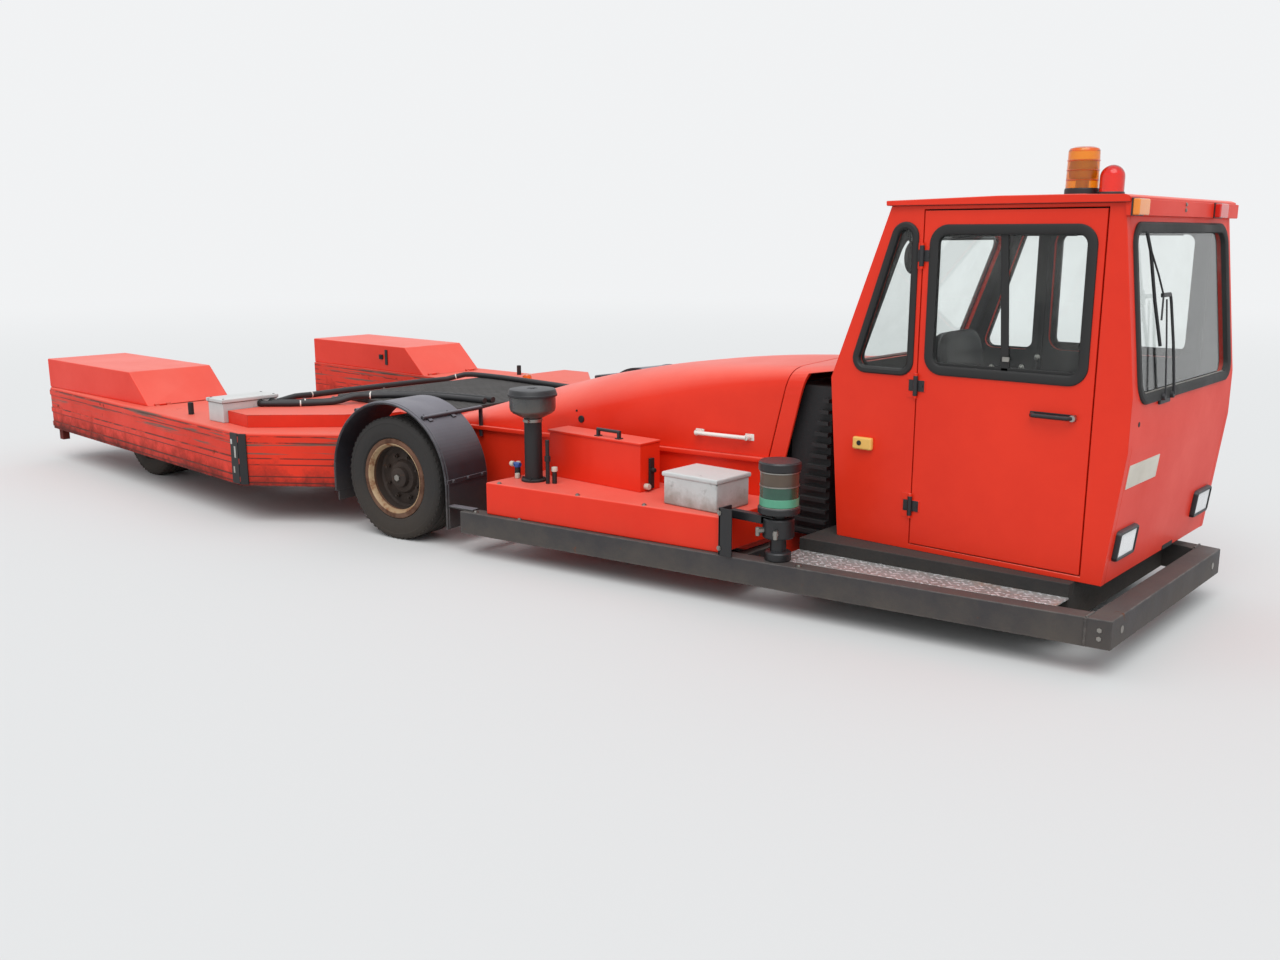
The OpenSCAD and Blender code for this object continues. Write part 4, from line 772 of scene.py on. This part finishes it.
DOOR_RUBBER = [(0.014, -0.001), (0.012, 0.006), (0.004, 0.01), (-0.018, 0.01), (-0.028, 0.004), (-0.03, -0.018),
               (-0.002, -0.018), (-0.002, -0.001)]
LEAN = atan2(0.089, 0.754)
FRONT = facing((3.868, CAB_Y, 1.09), (0, 1, 0), (-sin(LEAN), 0, cos(LEAN)))
REAR = facing((2.481, CAB_Y, 1.062), (0, -1, 0), (0.283, 0, 0.782))
quarter = fillet([(2.602, 1.12), (2.884, 1.12), (2.884, 1.754), (2.806, 1.754)], 0.045)
piece("window_rubbers", window_rubber, [
    framed(oblong(-0.6, -0.012, 0.6, 0.652 / cos(LEAN), 0.07, 10), OUTER_RUBBER, FRONT),
    framed(oblong(-0.52, 0.064, 0.52, 0.691, 0.07, 10), OUTER_RUBBER, REAR),
    [framed(quarter, [(across * 0.75, rise) for across, rise in OUTER_RUBBER], mirrored(side) @ WALL)
     for side in (-1, 1)]])
piece("screen_strip", bare_steel, [block((0.0, 0.004, -0.006), (1.08, 0.006, 0.005), 0.001)],
      turn=FRONT)
for side, hand in SIDES:
    piece("door_rubber_" + hand, window_rubber, [
        framed(oblong(2.972, 1.128, 3.672, 1.75, 0.07, 10), DOOR_RUBBER, WALL),
        block((3.31, -0.465, 1.439), (0.034, 0.012, 0.6), 0.003, (0, -3.7, 0)),
        block((3.322, -0.465, 1.158), (0.62, 0.012, 0.024), 0.003),
        block((3.29, -0.452, 1.725), (0.6, 0.012, 0.02), 0.003)], hand + "_door", turn=mirrored(side))
    piece("pane_clasp_" + hand, bare_steel, [block((3.333, -0.473, 1.205), (0.03, 0.008, 0.02), 0.002)],
          hand + "_door", turn=mirrored(side))

# ---- Wiper: one long black steel arm from a bracket under the screen, with a thin guide arm beside it.
# A clamp joins both to the rubber blade, which lies slanting on the glass.
piece("wiper", black_plastic, [
    block((3.873, -0.108, 1.052), (0.012, 0.127, 0.04), 0.004),
    [post((3.872, y, 1.062), (0.022, 0, 0.003), 0.014, round_by=0.003) for y in (-0.052, -0.16)],
    rod([(3.892, -0.052, 1.066), (3.889, -0.051, 1.1), (3.87, -0.05, 1.28), (3.846, -0.049, 1.45),
         (3.842, -0.056, 1.48)], 0.006),
    rod([(3.892, -0.16, 1.066), (3.889, -0.157, 1.1), (3.868, -0.13, 1.28), (3.845, -0.105, 1.46)], 0.0035),
    block((3.841, -0.105, 1.478), (0.014, 0.1, 0.018), 0.004, (0, -6, 0)),
    rod([(3.8, -0.278, 1.728), (3.811, -0.25, 1.657), (3.835, -0.221, 1.458), (3.858, -0.177, 1.274)], 0.007),
    rod([(3.815, -0.258, 1.66), (3.838, -0.21, 1.56), (3.845, -0.15, 1.478), (3.858, -0.19, 1.38)], 0.004)])

# ---- Headlamps: square lamps in black moulded bezels, let into the front below the fascia.
# Upright flutes on the white lenses spread the light.
lens_white = finish_of("lens_white", "eef0f0", "dfe2e3", rough=(0.08, 0.18), coat=0.8, grain=(60.0, 0.0004))
LAMP_Y = 0.51
piece("lamp_lenses", lens_white, [
    [block((side * LAMP_Y, 0, 0.0), (0.203, 0.112, 0.03), 0.006, segments=3),
     [block((side * LAMP_Y - 0.088 + 0.011 * k, 0, 0.0145), (0.006, 0.094, 0.003), 0.001, segments=1)
      for k in range(17)]] for side in (-1, 1)], replaces="headlamps", turn=FACE_LOW)
piece("lamp_bezels", black_plastic, [
    framed(oblong(side * LAMP_Y - 0.099, -0.0535, side * LAMP_Y + 0.099, 0.0535, 0.008, 4), [
        (0.0125, -0.002), (0.0125, 0.012), (0.008, 0.02), (0.0, 0.021), (-0.003, 0.017), (-0.003, -0.002)], Matrix())
    for side in (-1, 1)], turn=FACE_LOW)

# ---- Warning lamps: an amber beacon with a bright rotor and a red dome on the roof, and an amber lamp on the deck.
# Two square markers sit on the bar over the screen. Each lens is clear plastic on a black moulded base.


def coloured_lens(name, colour, deep):
    made, tree = material(name)
    rim = add(tree, "LayerWeight", {"Blend": 0.35}).outputs["Facing"]
    shader = add(tree, "BsdfPrincipled", {
        "Base Color": blended(tree, rim, srgb(colour), srgb(deep)), "Roughness": 0.08, "IOR": 1.35,
        "Transmission Weight": 0.75, "Metallic": 0.0, "Coat Weight": 0.5, "Coat Roughness": 0.05})
    add(tree, "OutputMaterial", {"Surface": shader.outputs[0]})
    return made


BEACON = (3.455, -0.1, 0)
DOME = (3.581, -0.1, 0)
DECK_LAMP = (-0.83, 0.65, 0)
DOME_R = 0.05
MARKERS = (("amber", -0.429, "f59222", "df7412"), ("red", 0.625, "e02a20", "b81c16"))
piece("amber_lenses", coloured_lens("amber_lens", "ff9a1f", "d8560a"), [
    spun([(0, 1.912), (0.066, 1.912), (0.067, 1.918), (0.0665, 1.95), (0.065, 2.03), (0.064, 2.068), (0.058, 2.077),
          (0.04, 2.0835), (0, 2.0838)], BEACON, 56),
    [spun([(0.0655, z), (0.0682, z + 0.002), (0.0655, z + 0.005), (0.0655, z)], BEACON, 56)
     for z in (1.945, 1.985, 2.025)],
    spun([(0, 0.655), (0.0335, 0.655), (0.034, 0.66), (0.034, 0.7), (0.028, 0.711), (0.014, 0.7147), (0, 0.715)],
         DECK_LAMP, 40)], replaces="amber_lamps")
piece("red_lenses", coloured_lens("red_lens", "ff3322", "8f0d0a"), [
    spun([(0, 1.894), (DOME_R, 1.894), (DOME_R, 1.956)] + [
        (DOME_R * cos(k * pi / 16), 1.956 + DOME_R * sin(k * pi / 16)) for k in range(1, 8)] + [(0, 2.006)],
         DOME, 48)], replaces="red_lamps")
for name, y, colour, shade in MARKERS:
    piece("marker_" + name, finish_of("marker_" + name, colour, shade, rough=(0.1, 0.2), coat=0.5), [
        block((3.8195, y, 1.826), (0.029, 0.12, 0.062), 0.006, segments=3)])
piece("lamp_bases", black_plastic, [
    spun([(0, 1.8775), (0.07, 1.8775), (0.07, 1.908), (0.067, 1.9135), (0, 1.914)], BEACON, 56),
    spun([(0, 1.8775), (0.053, 1.8775), (0.053, 1.892), (0.05, 1.896), (0, 1.8965)], DOME, 48),
    spun([(0, 0.6395), (0.042, 0.6395), (0.042, 0.652), (0.039, 0.656), (0, 0.6565)], DECK_LAMP, 40),
    [block((3.806, row[1], 1.826), (0.006, 0.128, 0.068), 0.002) for row in MARKERS]])
piece("beacon_rotor", bare_steel, [
    post((3.455, -0.1, 1.916), (0, 0, 0.03), 0.02),
    spun([(0, 1.945), (0.018, 1.946), (0.04, 1.955), (0.043, 1.99), (0.04, 2.025), (0, 2.03)], BEACON, 24)])

# ---- Driver's place, seen through the panes: a sprung black seat, a dash on the floor and a dark hand wheel.
# The cushions are vinyl over foam with sewn channels and piping; the wheel has bright spokes.
vinyl = finish_of("seat_vinyl", "232326", "1a1a1c", rough=(0.4, 0.6), fade_and_sheen=("4b4b4d", 0.3), wear=("5b5750", 0.4),
                  grain=(220.0, 0.0006))
SEAM = 0.985


def cushion(name, place, half, channels):
    """A crowned closed pad: sides drawn in to a piped seam, and sewn channels across its face"""
    shape = bmesh.new()
    bmesh.ops.create_cube(shape, size=2)
    bmesh.ops.subdivide_edges(shape, edges=shape.edges, cuts=27, use_grid_fill=True)
    for vert in shape.verts:
        x, y, z = vert.co
        flat = max((abs(x) ** 6 + abs(y) ** 6 + abs(z) ** 3.2) ** (1 / 4.6), 1)
        spot = Vector((x / flat, y / flat, z / flat ** 0.6))
        sewn = sum(exp(-((spot.x - at) / 0.035) ** 2) for at in channels) if abs(spot.y) < 0.82 else 0
        if z > 0.3:
            spot.z *= 1 - 0.09 * sewn
        waist = 1 - 0.03 * exp(-(spot.z / 0.25) ** 2)
        vert.co = Vector((spot.x * half[0] * waist, spot.y * half[1] * waist, spot.z * half[2]))
    made = piece(name, vinyl, shape, angle=80, turn=place)
    edge = [(SEAM * half[0] * copysign(abs(cos(t)) ** 0.35, cos(t)),
             SEAM * half[1] * copysign(abs(sin(t)) ** 0.35, sin(t)), half[2] * 0.42) for t in ring_of(96, 0.5)]
    piece(name + "_piping", vinyl, [rod(edge, 0.004, 8, closed=True)], turn=place)
    return made


SEAT_X = 3.051
pan = cushion("seat_pan", Matrix.Translation((SEAT_X, CAB_Y, 0.731)), (0.236, 0.236, 0.053), (-0.55, -0.2, 0.15, 0.5))
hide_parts("seat")
cushion("seat_back", Matrix.Translation((2.8, CAB_Y, 0.9965)) @ rotated(-8, "Y") @ rotated(90, "Y"),
        (0.262, 0.222, 0.045), (-0.5, -0.15, 0.2, 0.55))
piece("seat_base", shadow_black, [
    block((SEAT_X, CAB_Y, 0.655), (0.44, 0.42, 0.05), 0.008),
    block((SEAT_X, CAB_Y, 0.51), (0.3, 0.3, 0.3), 0.02),
    [block((SEAT_X, CAB_Y, 0.42 + 0.045 * k), (0.34, 0.34, 0.028), 0.012) for k in range(5)]])
dressed("dash", 0.02, black_plastic, least=0.15, segments=3)
piece("dash_panel", shadow_black, [
    block((3.64, CAB_Y, 0.915), (0.2, 0.72, 0.05), 0.018, (0, 8, 0), 3),
    block((3.54, CAB_Y, 0.93), (0.09, 0.34, 0.11), 0.03, (0, -30, 0), 3),
    [[rod([(3.56, y, 0.93), (3.55, y + lean * 0.002, 1.0), (3.53, y + lean * 0.004, 1.06)], 0.006),
      post((3.53, y + lean * 0.004, 1.05), (-0.006, 0, 0.04), 0.016, round_by=0.006)]
     for y, lean in ((-0.12, 6), (-0.05, -4), (0.46, 5), (0.53, -6))]])
piece("dash_dials", cream_plastic, [
    post((3.521, CAB_Y + y, 0.955), (-0.012, 0, 0.007), radius, round_by=0.003)
    for y, radius in ((-0.1, 0.028), (0, 0.036), (0.1, 0.028))])
HAND_WHEEL = Matrix.Translation((3.3916, CAB_Y, 1.0445)) @ rotated(-35, "Y")
piece("wheel_grip", black_plastic, [
    spun([(0.186 + 0.0135 * cos(t), 0.014 + 0.0135 * sin(t)) for t in ring_of(14) + [tau]], steps=64),
    spun([(0, 0.012), (0.044, 0.012), (0.042, 0.022), (0.03, 0.027), (0, 0.028)], steps=32)],
    "steering_wheel", "hand_wheel", turn=HAND_WHEEL)
piece("wheel_spokes", bare_steel, fins((0, 0), 0.105, 0.012, (0.15, 0.022, 0.006), 0.002, ring_of(3, 0.75)),
      "steering_wheel", turn=HAND_WHEEL)
piece("cab_mirror", shadow_black, [
    post((2.83, -0.36, 1.62), (-0.02, 0.0, 0.0), 0.075, round_by=0.006),
    rod([(2.825, -0.36, 1.62), (2.8, -0.38, 1.72), (2.79, -0.4, 1.8)], 0.006)])
LEVERS = ((3.1, 1.13), (3.17, 1.17), (3.24, 1.14), (3.31, 1.19))
piece("lever_console", shadow_black, [
    block((3.2, -0.19, 0.6), (0.36, 0.16, 0.5), 0.02, segments=3),
    [rod([(x, -0.19, 0.84), (x + 0.01, -0.185, 1.0), (x + 0.03, -0.17, tip)], 0.006) for x, tip in LEVERS]])
piece("lever_knobs", bare_steel, [
    spun([(0.012 * sin(pi * k / 10), -0.016 * cos(pi * k / 10)) for k in range(11)], (x + 0.032, -0.168, tip), 16)
    for x, tip in LEVERS])

# ---- Middle of the tractor: the low welded body between the frame and the fork, with a ribbed rubber plate on it.
# The plate's top is lighter with dust and painted sheen, and the paint below is pink on its top faces with fading and
# painted sheen.
dressed("centre_body", 0.006, red_paint, least=0.1)
deck_rubber = finish_of("deck_rubber", "242323", "333130", rough=(0.6, 0.85), fade_and_sheen=("5b5856", 0.6),
                        grain=(45.0, 0.003), scale=5.0)
dressed("deck_plate", 0.006, deck_rubber)
piece("deck_ribs", deck_rubber, [
    block((-1.2 + 0.045 * k, -0.075, 0.6705), (0.018, 1.24, 0.004), 0.0015, segments=1) for k in range(24)])
piece("neck_bolts", bare_steel, [
    hex_bolts([(x, y, 0.64) for x in (-1.42, -1.3) for y in (-0.7, -0.2, 0.3, 0.7)], UP, 0.01, 0.006)])

# ---- Hoses and cable loom: black rubber, lying over the middle body from the junction box to the engine bay.
# White ties hold each, and a black gland leads it out of the box.
hose_rubber = finish_of("hose_rubber", "17171a", "222224", rough=(0.45, 0.7), fade_and_sheen=("4c4b4c", 0.5),
                        grain=(140.0, 0.0008))
HOSE_R = 0.019
ON_NECK = 0.6593
ON_PLATE = 0.6893
HOSES = {
    "loom": [(-1.38, -1.129, 0.645), (-1.38, -1.104, 0.645), (-1.385, -1.039, 0.649), (-1.395, -0.93, 0.6633),
             (-1.41, -0.8, ON_NECK), (-1.43, -0.5, ON_NECK), (-1.43, -0.1, ON_NECK), (-1.425, 0.2, ON_NECK),
             (-1.4, 0.36, ON_NECK), (-1.32, 0.47, ON_PLATE), (-1.2, 0.52, ON_PLATE), (-0.98, 0.53, ON_PLATE),
             (-0.7, 0.515, ON_PLATE), (-0.4, 0.49, ON_PLATE), (-0.14, 0.46, ON_PLATE)],
    "hose_outer": [(-1.293, -1.25, 0.661), (-1.268, -1.25, 0.661), (-1.22, -1.2, ON_NECK), (-1.1, -1.08, ON_NECK),
                   (-1.0, -0.9, ON_NECK), (-0.93, -0.79, ON_PLATE), (-0.88, -0.7, ON_PLATE), (-0.76, -0.56, ON_PLATE),
                   (-0.56, -0.44, ON_PLATE), (-0.3, -0.38, ON_PLATE), (-0.14, -0.36, ON_PLATE)],
    "hose_inner": [(-1.293, -1.17, 0.661), (-1.268, -1.17, 0.661), (-1.23, -1.14, ON_NECK), (-1.14, -1.02, ON_NECK),
                   (-1.06, -0.88, ON_NECK), (-0.99, -0.77, ON_PLATE), (-0.93, -0.66, ON_PLATE), (-0.8, -0.5, ON_PLATE),
                   (-0.58, -0.37, ON_PLATE), (-0.3, -0.3, ON_PLATE), (-0.14, -0.29, ON_PLATE)]}


def eased(route, parts):
    """A route's points with more between them, on a smooth curve through all"""
    route = [Vector(spot) for spot in route]
    ends = [route[0] * 2 - route[1]] + route + [route[-1] * 2 - route[-2]]
    out = []
    for a, b, c, d in zip(ends, ends[1:], ends[2:], ends[3:]):
        for t in [k / parts for k in range(parts)]:
            out.append(0.5 * (2 * b + (c - a) * t + (2 * a - 5 * b + 4 * c - d) * t * t
                              + (3 * b - a - 3 * c + d) * t * t * t))
    return out + [route[-1]]


for name, route in HOSES.items():
    spots = eased(route, 2 if name == "loom" else 3)
    tube = bpy.data.curves.new(name, "CURVE")
    tube.dimensions = "3D"
    tube.bevel_depth = HOSE_R
    tube.bevel_resolution = 5
    tube.use_fill_caps = True
    spline = tube.splines.new("POLY")
    spline.points.add(len(spots) - 1)
    for point, spot in zip(spline.points, spots):
        point.co = (*spot, 1)
    spline.use_smooth = True
    hose = linked(name, tube)
    tube.materials.append(hose_rubber)
    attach(hose, "chassis")
    ties = []
    for k in [int(share * (len(spots) - 1)) for share in (0.3, 0.62)]:
        along = (spots[k + 1] - spots[k]).normalized()
        place = Matrix.Translation(spots[k]) @ along.to_track_quat("Z", "Y").to_matrix().to_4x4()
        ties.append(spun(band(0.0185, 0.0203, -0.004, 0.004), place=place, steps=24))
    tie = piece(name + "_ties", white_paint, ties)
    if name == "loom":
        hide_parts("deck_hoses")
glands = []
for route in HOSES.values():
    start, ahead = Vector(route[0]), (Vector(route[1]) - Vector(route[0])).normalized()
    glands += [post(start - ahead * 0.002, ahead * 0.016, 0.026, sides=6, round_by=0.002),
               post(start + ahead * 0.013, ahead * 0.012, 0.023, round_by=0.003)]
piece("hose_glands", shadow_black, glands)

# ---- Steered axle: a welded beam with kingpin eyes, and a forged knuckle turning in each.
# Oily, dusty black steel, as are the motors that drive the rear wheels.
axle_black = finish_of("axle_black", "232120", "322d29", rough=(0.5, 0.8), dirt=("5a4c3c", 0.15, 0.5, 0.6),
                       grain=(50.0, 0.0015))
for name, least in (("steer_axle", 0.06), ("knuckle_right", 0.06), ("knuckle_left", 0.06), ("motor_right", 9),
                    ("motor_left", 9)):
    dressed(name, 0.004, axle_black, least)

# ---- Fenders: black rolled sheet over the steered wheels, with a beaded lip and a bolted joint at the front.
# Two bent rods carry each one; the top is lilac grey with road dust and painted highlight.
STEER_X = 0.04
HUB_Z = 0.355
BOW = 0.4465
fender_black = finish_of(
    "fender_black", "202024", "2c2b30", rough=(0.4, 0.65), fade_and_sheen=("86848c", 0.8), wear=("7d7a7c", 0.5),
    dirt=("58504a", 0.12, 0.4, 0.4), grain=(90.0, 0.0008), scale=5.0)


def outwards(side):
    """Mirrors a piece that was made for the left side, for the right one"""
    return Matrix.Diagonal((1, side, 1, 1))


def lip(y, radius):
    """The bead along the fender's edge: up from its front end, over the wheel and down behind it"""
    arch = [(radius * cos(t), y, radius * sin(t)) for t in [pi * k / 40 for k in range(41)]]
    return rod([(radius, y, -0.235), (radius, y, -0.1)] + arch + [(-radius, y, -0.119)], 0.0058, 10)


for side, hand in SIDES:
    dressed("fender_" + hand, 0.003, fender_black, least=0.15)
    piece("fender_lip_" + hand, fender_black, [
        lip(0.142, 0.4385), lip(0.128, 0.4425),
        block((0.4455, -0.027, 0.03), (0.005, 0.332, 0.022), 0.0015),
        [hex_bolts([(0.447, y, 0.03)], (1, 0, 0), 0.007, 0.004) for y in (-0.15, -0.03, 0.09)],
        [block((BOW * cos(radians(angle)), y, BOW * sin(radians(angle))), (0.012, 0.03, 0.06), 0.003, (0, -angle, 0))
         for angle in (55, 125) for y in (-0.12, 0.07)],
        block((-0.437, -0.03, -0.145), (0.008, 0.31, 0.07), 0.003)],
        turn=Matrix.Translation((STEER_X, side * 1.127, HUB_Z)) @ outwards(side) @ rotated(-TAPER, "Z"))

# ---- Tyres: worn road tyres with four grooves round the tread and notched shoulders, grey with mud at the bottom.
# The rims are rusty steel with a thin cream ring, a deep dark dish, wheel nuts and a bright hub nut.
tyre_rubber = finish_of("tyre_rubber", "1f1d1c", "2b2826", rough=(0.7, 0.9), dirt=("50453a", 0.0, 0.36, 0.4),
                        grain=(70.0, 0.0015), scale=4.0)
rim_rust = finish_of("rim_rust", "6d4833", "523624", rough=(0.6, 0.85), dirt=("5e5347", 0.05, 0.3, 0.4),
                     rust=("4a2e20", 0.5, 0.62), grain=(60.0, 0.0012), scale=7.0)
rim_cream = finish_of("rim_cream", "bda581", "8f6f50", rough=(0.5, 0.7), rust=("7a4a2e", 0.52, 0.62))
dish_dark = finish_of("dish_dark", "3a2a20", "241b16", rough=(0.6, 0.85), rust=("6b4228", 0.6, 0.7),
                      grain=(50.0, 0.0012))
TREAD = [(0.353, 0.1), (0.355, 0.096), (0.355, 0.071), (0.347, 0.069), (0.347, 0.06), (0.355, 0.058), (0.355, 0.026),
         (0.347, 0.024), (0.347, 0.015), (0.355, 0.013)]
SIDEWALL = [(0.2045, 0.104), (0.2325, 0.106), (0.236, 0.1145), (0.242, 0.12), (0.25, 0.121), (0.262, 0.1255),
            (0.28, 0.128), (0.3, 0.1275), (0.318, 0.125), (0.32, 0.1265), (0.325, 0.126), (0.339, 0.1195),
            (0.348, 0.111)]
half = SIDEWALL + TREAD
tyre = [(radius, -z) for radius, z in half] + half[::-1]
WHEEL = (
    ("treaded_", tyre_rubber, "tyre_rubber", [
        spun(tyre + tyre[:1], steps=96),
        [block(around((0, 0), 0.3488, angle, end * 0.1065), (0.009, 0.02, 0.016), 0.003, (0, 0, degrees(angle)), 1)
         for angle in ring_of(60) for end in (-1, 1)]]),
    ("rim_", rim_rust, "rim_steel", [
        spun([(0.184, -0.112), (0.19, -0.114), (0.229, -0.114), (0.232, -0.111), (0.232, -0.106), (0.204, -0.1055),
              (0.204, 0.1055), (0.232, 0.106), (0.232, 0.111), (0.229, 0.1145), (0.214, 0.116), (0.203, 0.1135),
              (0.196, 0.109), (0.19, 0.09), (0.184, 0.08), (0.184, -0.112)], steps=80)]),
    ("rim_ring_", rim_cream, "rim_steel", [
        spun([(0.1865, 0.086), (0.1925, 0.1), (0.199, 0.113), (0.2035, 0.1155), (0.2005, 0.1165), (0.196, 0.1135),
              (0.19, 0.103), (0.1845, 0.09), (0.1865, 0.086)], steps=80)]),
    ("rim_dish_", dish_dark, "rim_steel", [
        spun([(0.186, 0.075), (0.182, 0.075), (0.176, 0.035), (0.165, 0.026), (0.1, 0.03), (0.088, 0.05),
              (0.06, 0.054), (0.056, 0.078), (0.045, 0.084), (0.0, 0.085), (0.0, 0.047), (0.05, 0.046), (0.09, 0.02),
              (0.165, 0.012), (0.186, 0.02), (0.186, 0.075)], steps=80),
        [[post(around((0, 0), 0.125, angle, 0.024), (0, 0, 0.024), 0.0125, sides=6, round_by=0.002),
          post(around((0, 0), 0.125, angle, 0.045), (0, 0, 0.014), 0.007, sides=12)] for angle in ring_of(8, 0.5)]]),
    ("hub_nut_", bare_steel, "rim_steel", [post((0, 0, 0.083), (0, 0, 0.012), 0.02, sides=6, round_by=0.002)]))
PARKED_TURN = 8.5
for end, body, stands_for in (
        ("front_", "wheel_front_", {"treaded_": "tyre_front_", "rim_dish_": "rim_front_"}),
        ("rear_", "rear_", {"treaded_": "wheel_rear_"})):
    for side, hand in SIDES:
        if end == "front_":
            place = (Matrix.Translation((STEER_X, side * 1.02, HUB_Z)) @ rotated(PARKED_TURN, "Z") @ outwards(side)
                     @ Matrix.Translation((0, 0.107, 0)))
        else:
            place = Matrix.Translation((-2.76, side * 1.19, HUB_Z)) @ outwards(side)
        for name, finish, slot, parts in WHEEL:
            node = stands_for[name] + hand if name in stands_for else None
            piece(name + end + hand, finish, parts, body + hand, node, turn=place @ rotated(-90, "X"))

# ---- Fork arms: deep welded steel boxes beside the nose wheel's cradle, ribbed outside, with rounded upper edges.
# Ground equipment has scraped the outsides black and grey, and the low parts are dark with dirt.
ARM_TOP = 0.56
# The ribs' edges, along which thin lines of painted shade run
RIB_EDGES = (0.258, 0.296, 0.368, 0.406, 0.501, 0.539)
# Its pink top faces are fading and painted sheen
arm_paint = finish_of(
    "arm_paint", "dd3117", "c92a12", rough=(0.45, 0.6), specular=0.3, fade_and_sheen=("f08472", 0.6),
    wear=("4c3b35", 0.7, 0.009), dirt=("251d1a", 0.22, 0.38, 0.85), rust=("5c2c1c", 0.66, 0.72),
    scrape=("4f5248", 0.43, 0.552), rib_shade_lines=RIB_EDGES, grain=(90.0, 0.0006), scale=2.2)


def upper_edge(edge):
    """The outer long edge of an arm's top"""
    return all(abs(v.co.z - ARM_TOP) < 0.005 and abs(v.co.y) > 1.2 for v in edge.verts) and edge.calc_length() > 0.3


for hand in ("right", "left"):
    arm = of_node("arm_" + hand)
    round_edges(arm, long_edges(arm, 0.3, where=upper_edge), 0.018, 4)
    round_edges(arm, long_edges(arm, 0.3, angle=50, where=lambda edge: not upper_edge(edge)), 0.003)
    piece("arm_dressed_" + hand, arm_paint, arm, replaces="arm_" + hand)
piece("corner_strips", shadow_black, [
    [block((-0.955, side * 1.637, 0.4), (0.085, 0.012, 0.31), 0.004),
     block((-0.886, side * 1.6255, 0.4), (0.05, 0.012, 0.31), 0.004, (0, 0, -side * 36.8)),
     post((-1.8, side * 1.46, ARM_TOP), (0, 0, 0.08), 0.018, round_by=0.004)] for side in (-1, 1)])
piece("corner_strips_pale", box_grey, [
    block((x, side * 1.6425, z), (0.018, 0.004, tall), 0.0015) for side in (-1, 1)
    for x, z, tall in ((-0.98, 0.5, 0.03), (-0.945, 0.44, 0.07), (-0.965, 0.33, 0.04))])

# ---- Wheel covers: folded steel lids over the rear wheels, hinged at their sloping front ends.
# A black latch on the inner side holds each one down.
for side, hand in SIDES:
    dressed("cover_" + hand, 0.008, red_paint, least=0.3, segments=3)
for side, hand in SIDES:
    piece("cover_latch_" + hand, shadow_black, [
        block((-2.848, side * 0.877, 0.68), (0.035, 0.008, 0.13), 0.003),
        block((-2.92, side * 0.875, 0.68), (0.05, 0.012, 0.04), 0.003),
        post((-2.92, side * 0.872, 0.68), (0, -side * 0.012, 0), 0.012, round_by=0.002)],
        hand + "_cover")

# ---- Junction box: a grey enclosure on the right arm, where the hoses and the loom start.
# Four corner screws hold its overlapping lid down on a dark seal.
dressed("junction_box", 0.006, box_grey, least=0.08, segments=3)
piece("junction_screws", shadow_black, [
    [post((x, y, 0.7095), (0, 0, 0.0025), 0.007, sides=16, round_by=0.001)
     for x in (-1.46, -1.308) for y in (-1.496, -1.144)],
    block((-1.384, -1.32, 0.6855), (0.186, 0.386, 0.004), 0.001)])

# ---- Cradle and gates: the dark steel platform that lifts the aircraft's nose wheel, and two bars that shut it in.
# Tyres have polished the pad's bars and the gates' inner faces.
cradle_steel = finish_of(
    "cradle_steel", "3a3a3c", "4a4744", rough=(0.4, 0.7), metallic=0.3, fade_and_sheen=("77736d", 0.5), wear=("8d8880", 0.8),
    rust=("6a3d26", 0.62, 0.7), grain=(60.0, 0.001))
for name in ("cradle", "gate_right", "gate_left"):
    dressed(name, 0.004, cradle_steel, least=0.08)
piece("cradle_grip_bars", bare_steel, [
    block((-2.72 + 0.08 * k, 0, 0.1285), (0.03, 1.36, 0.006), 0.002, segments=1) for k in range(13)],
    "lift_cradle")
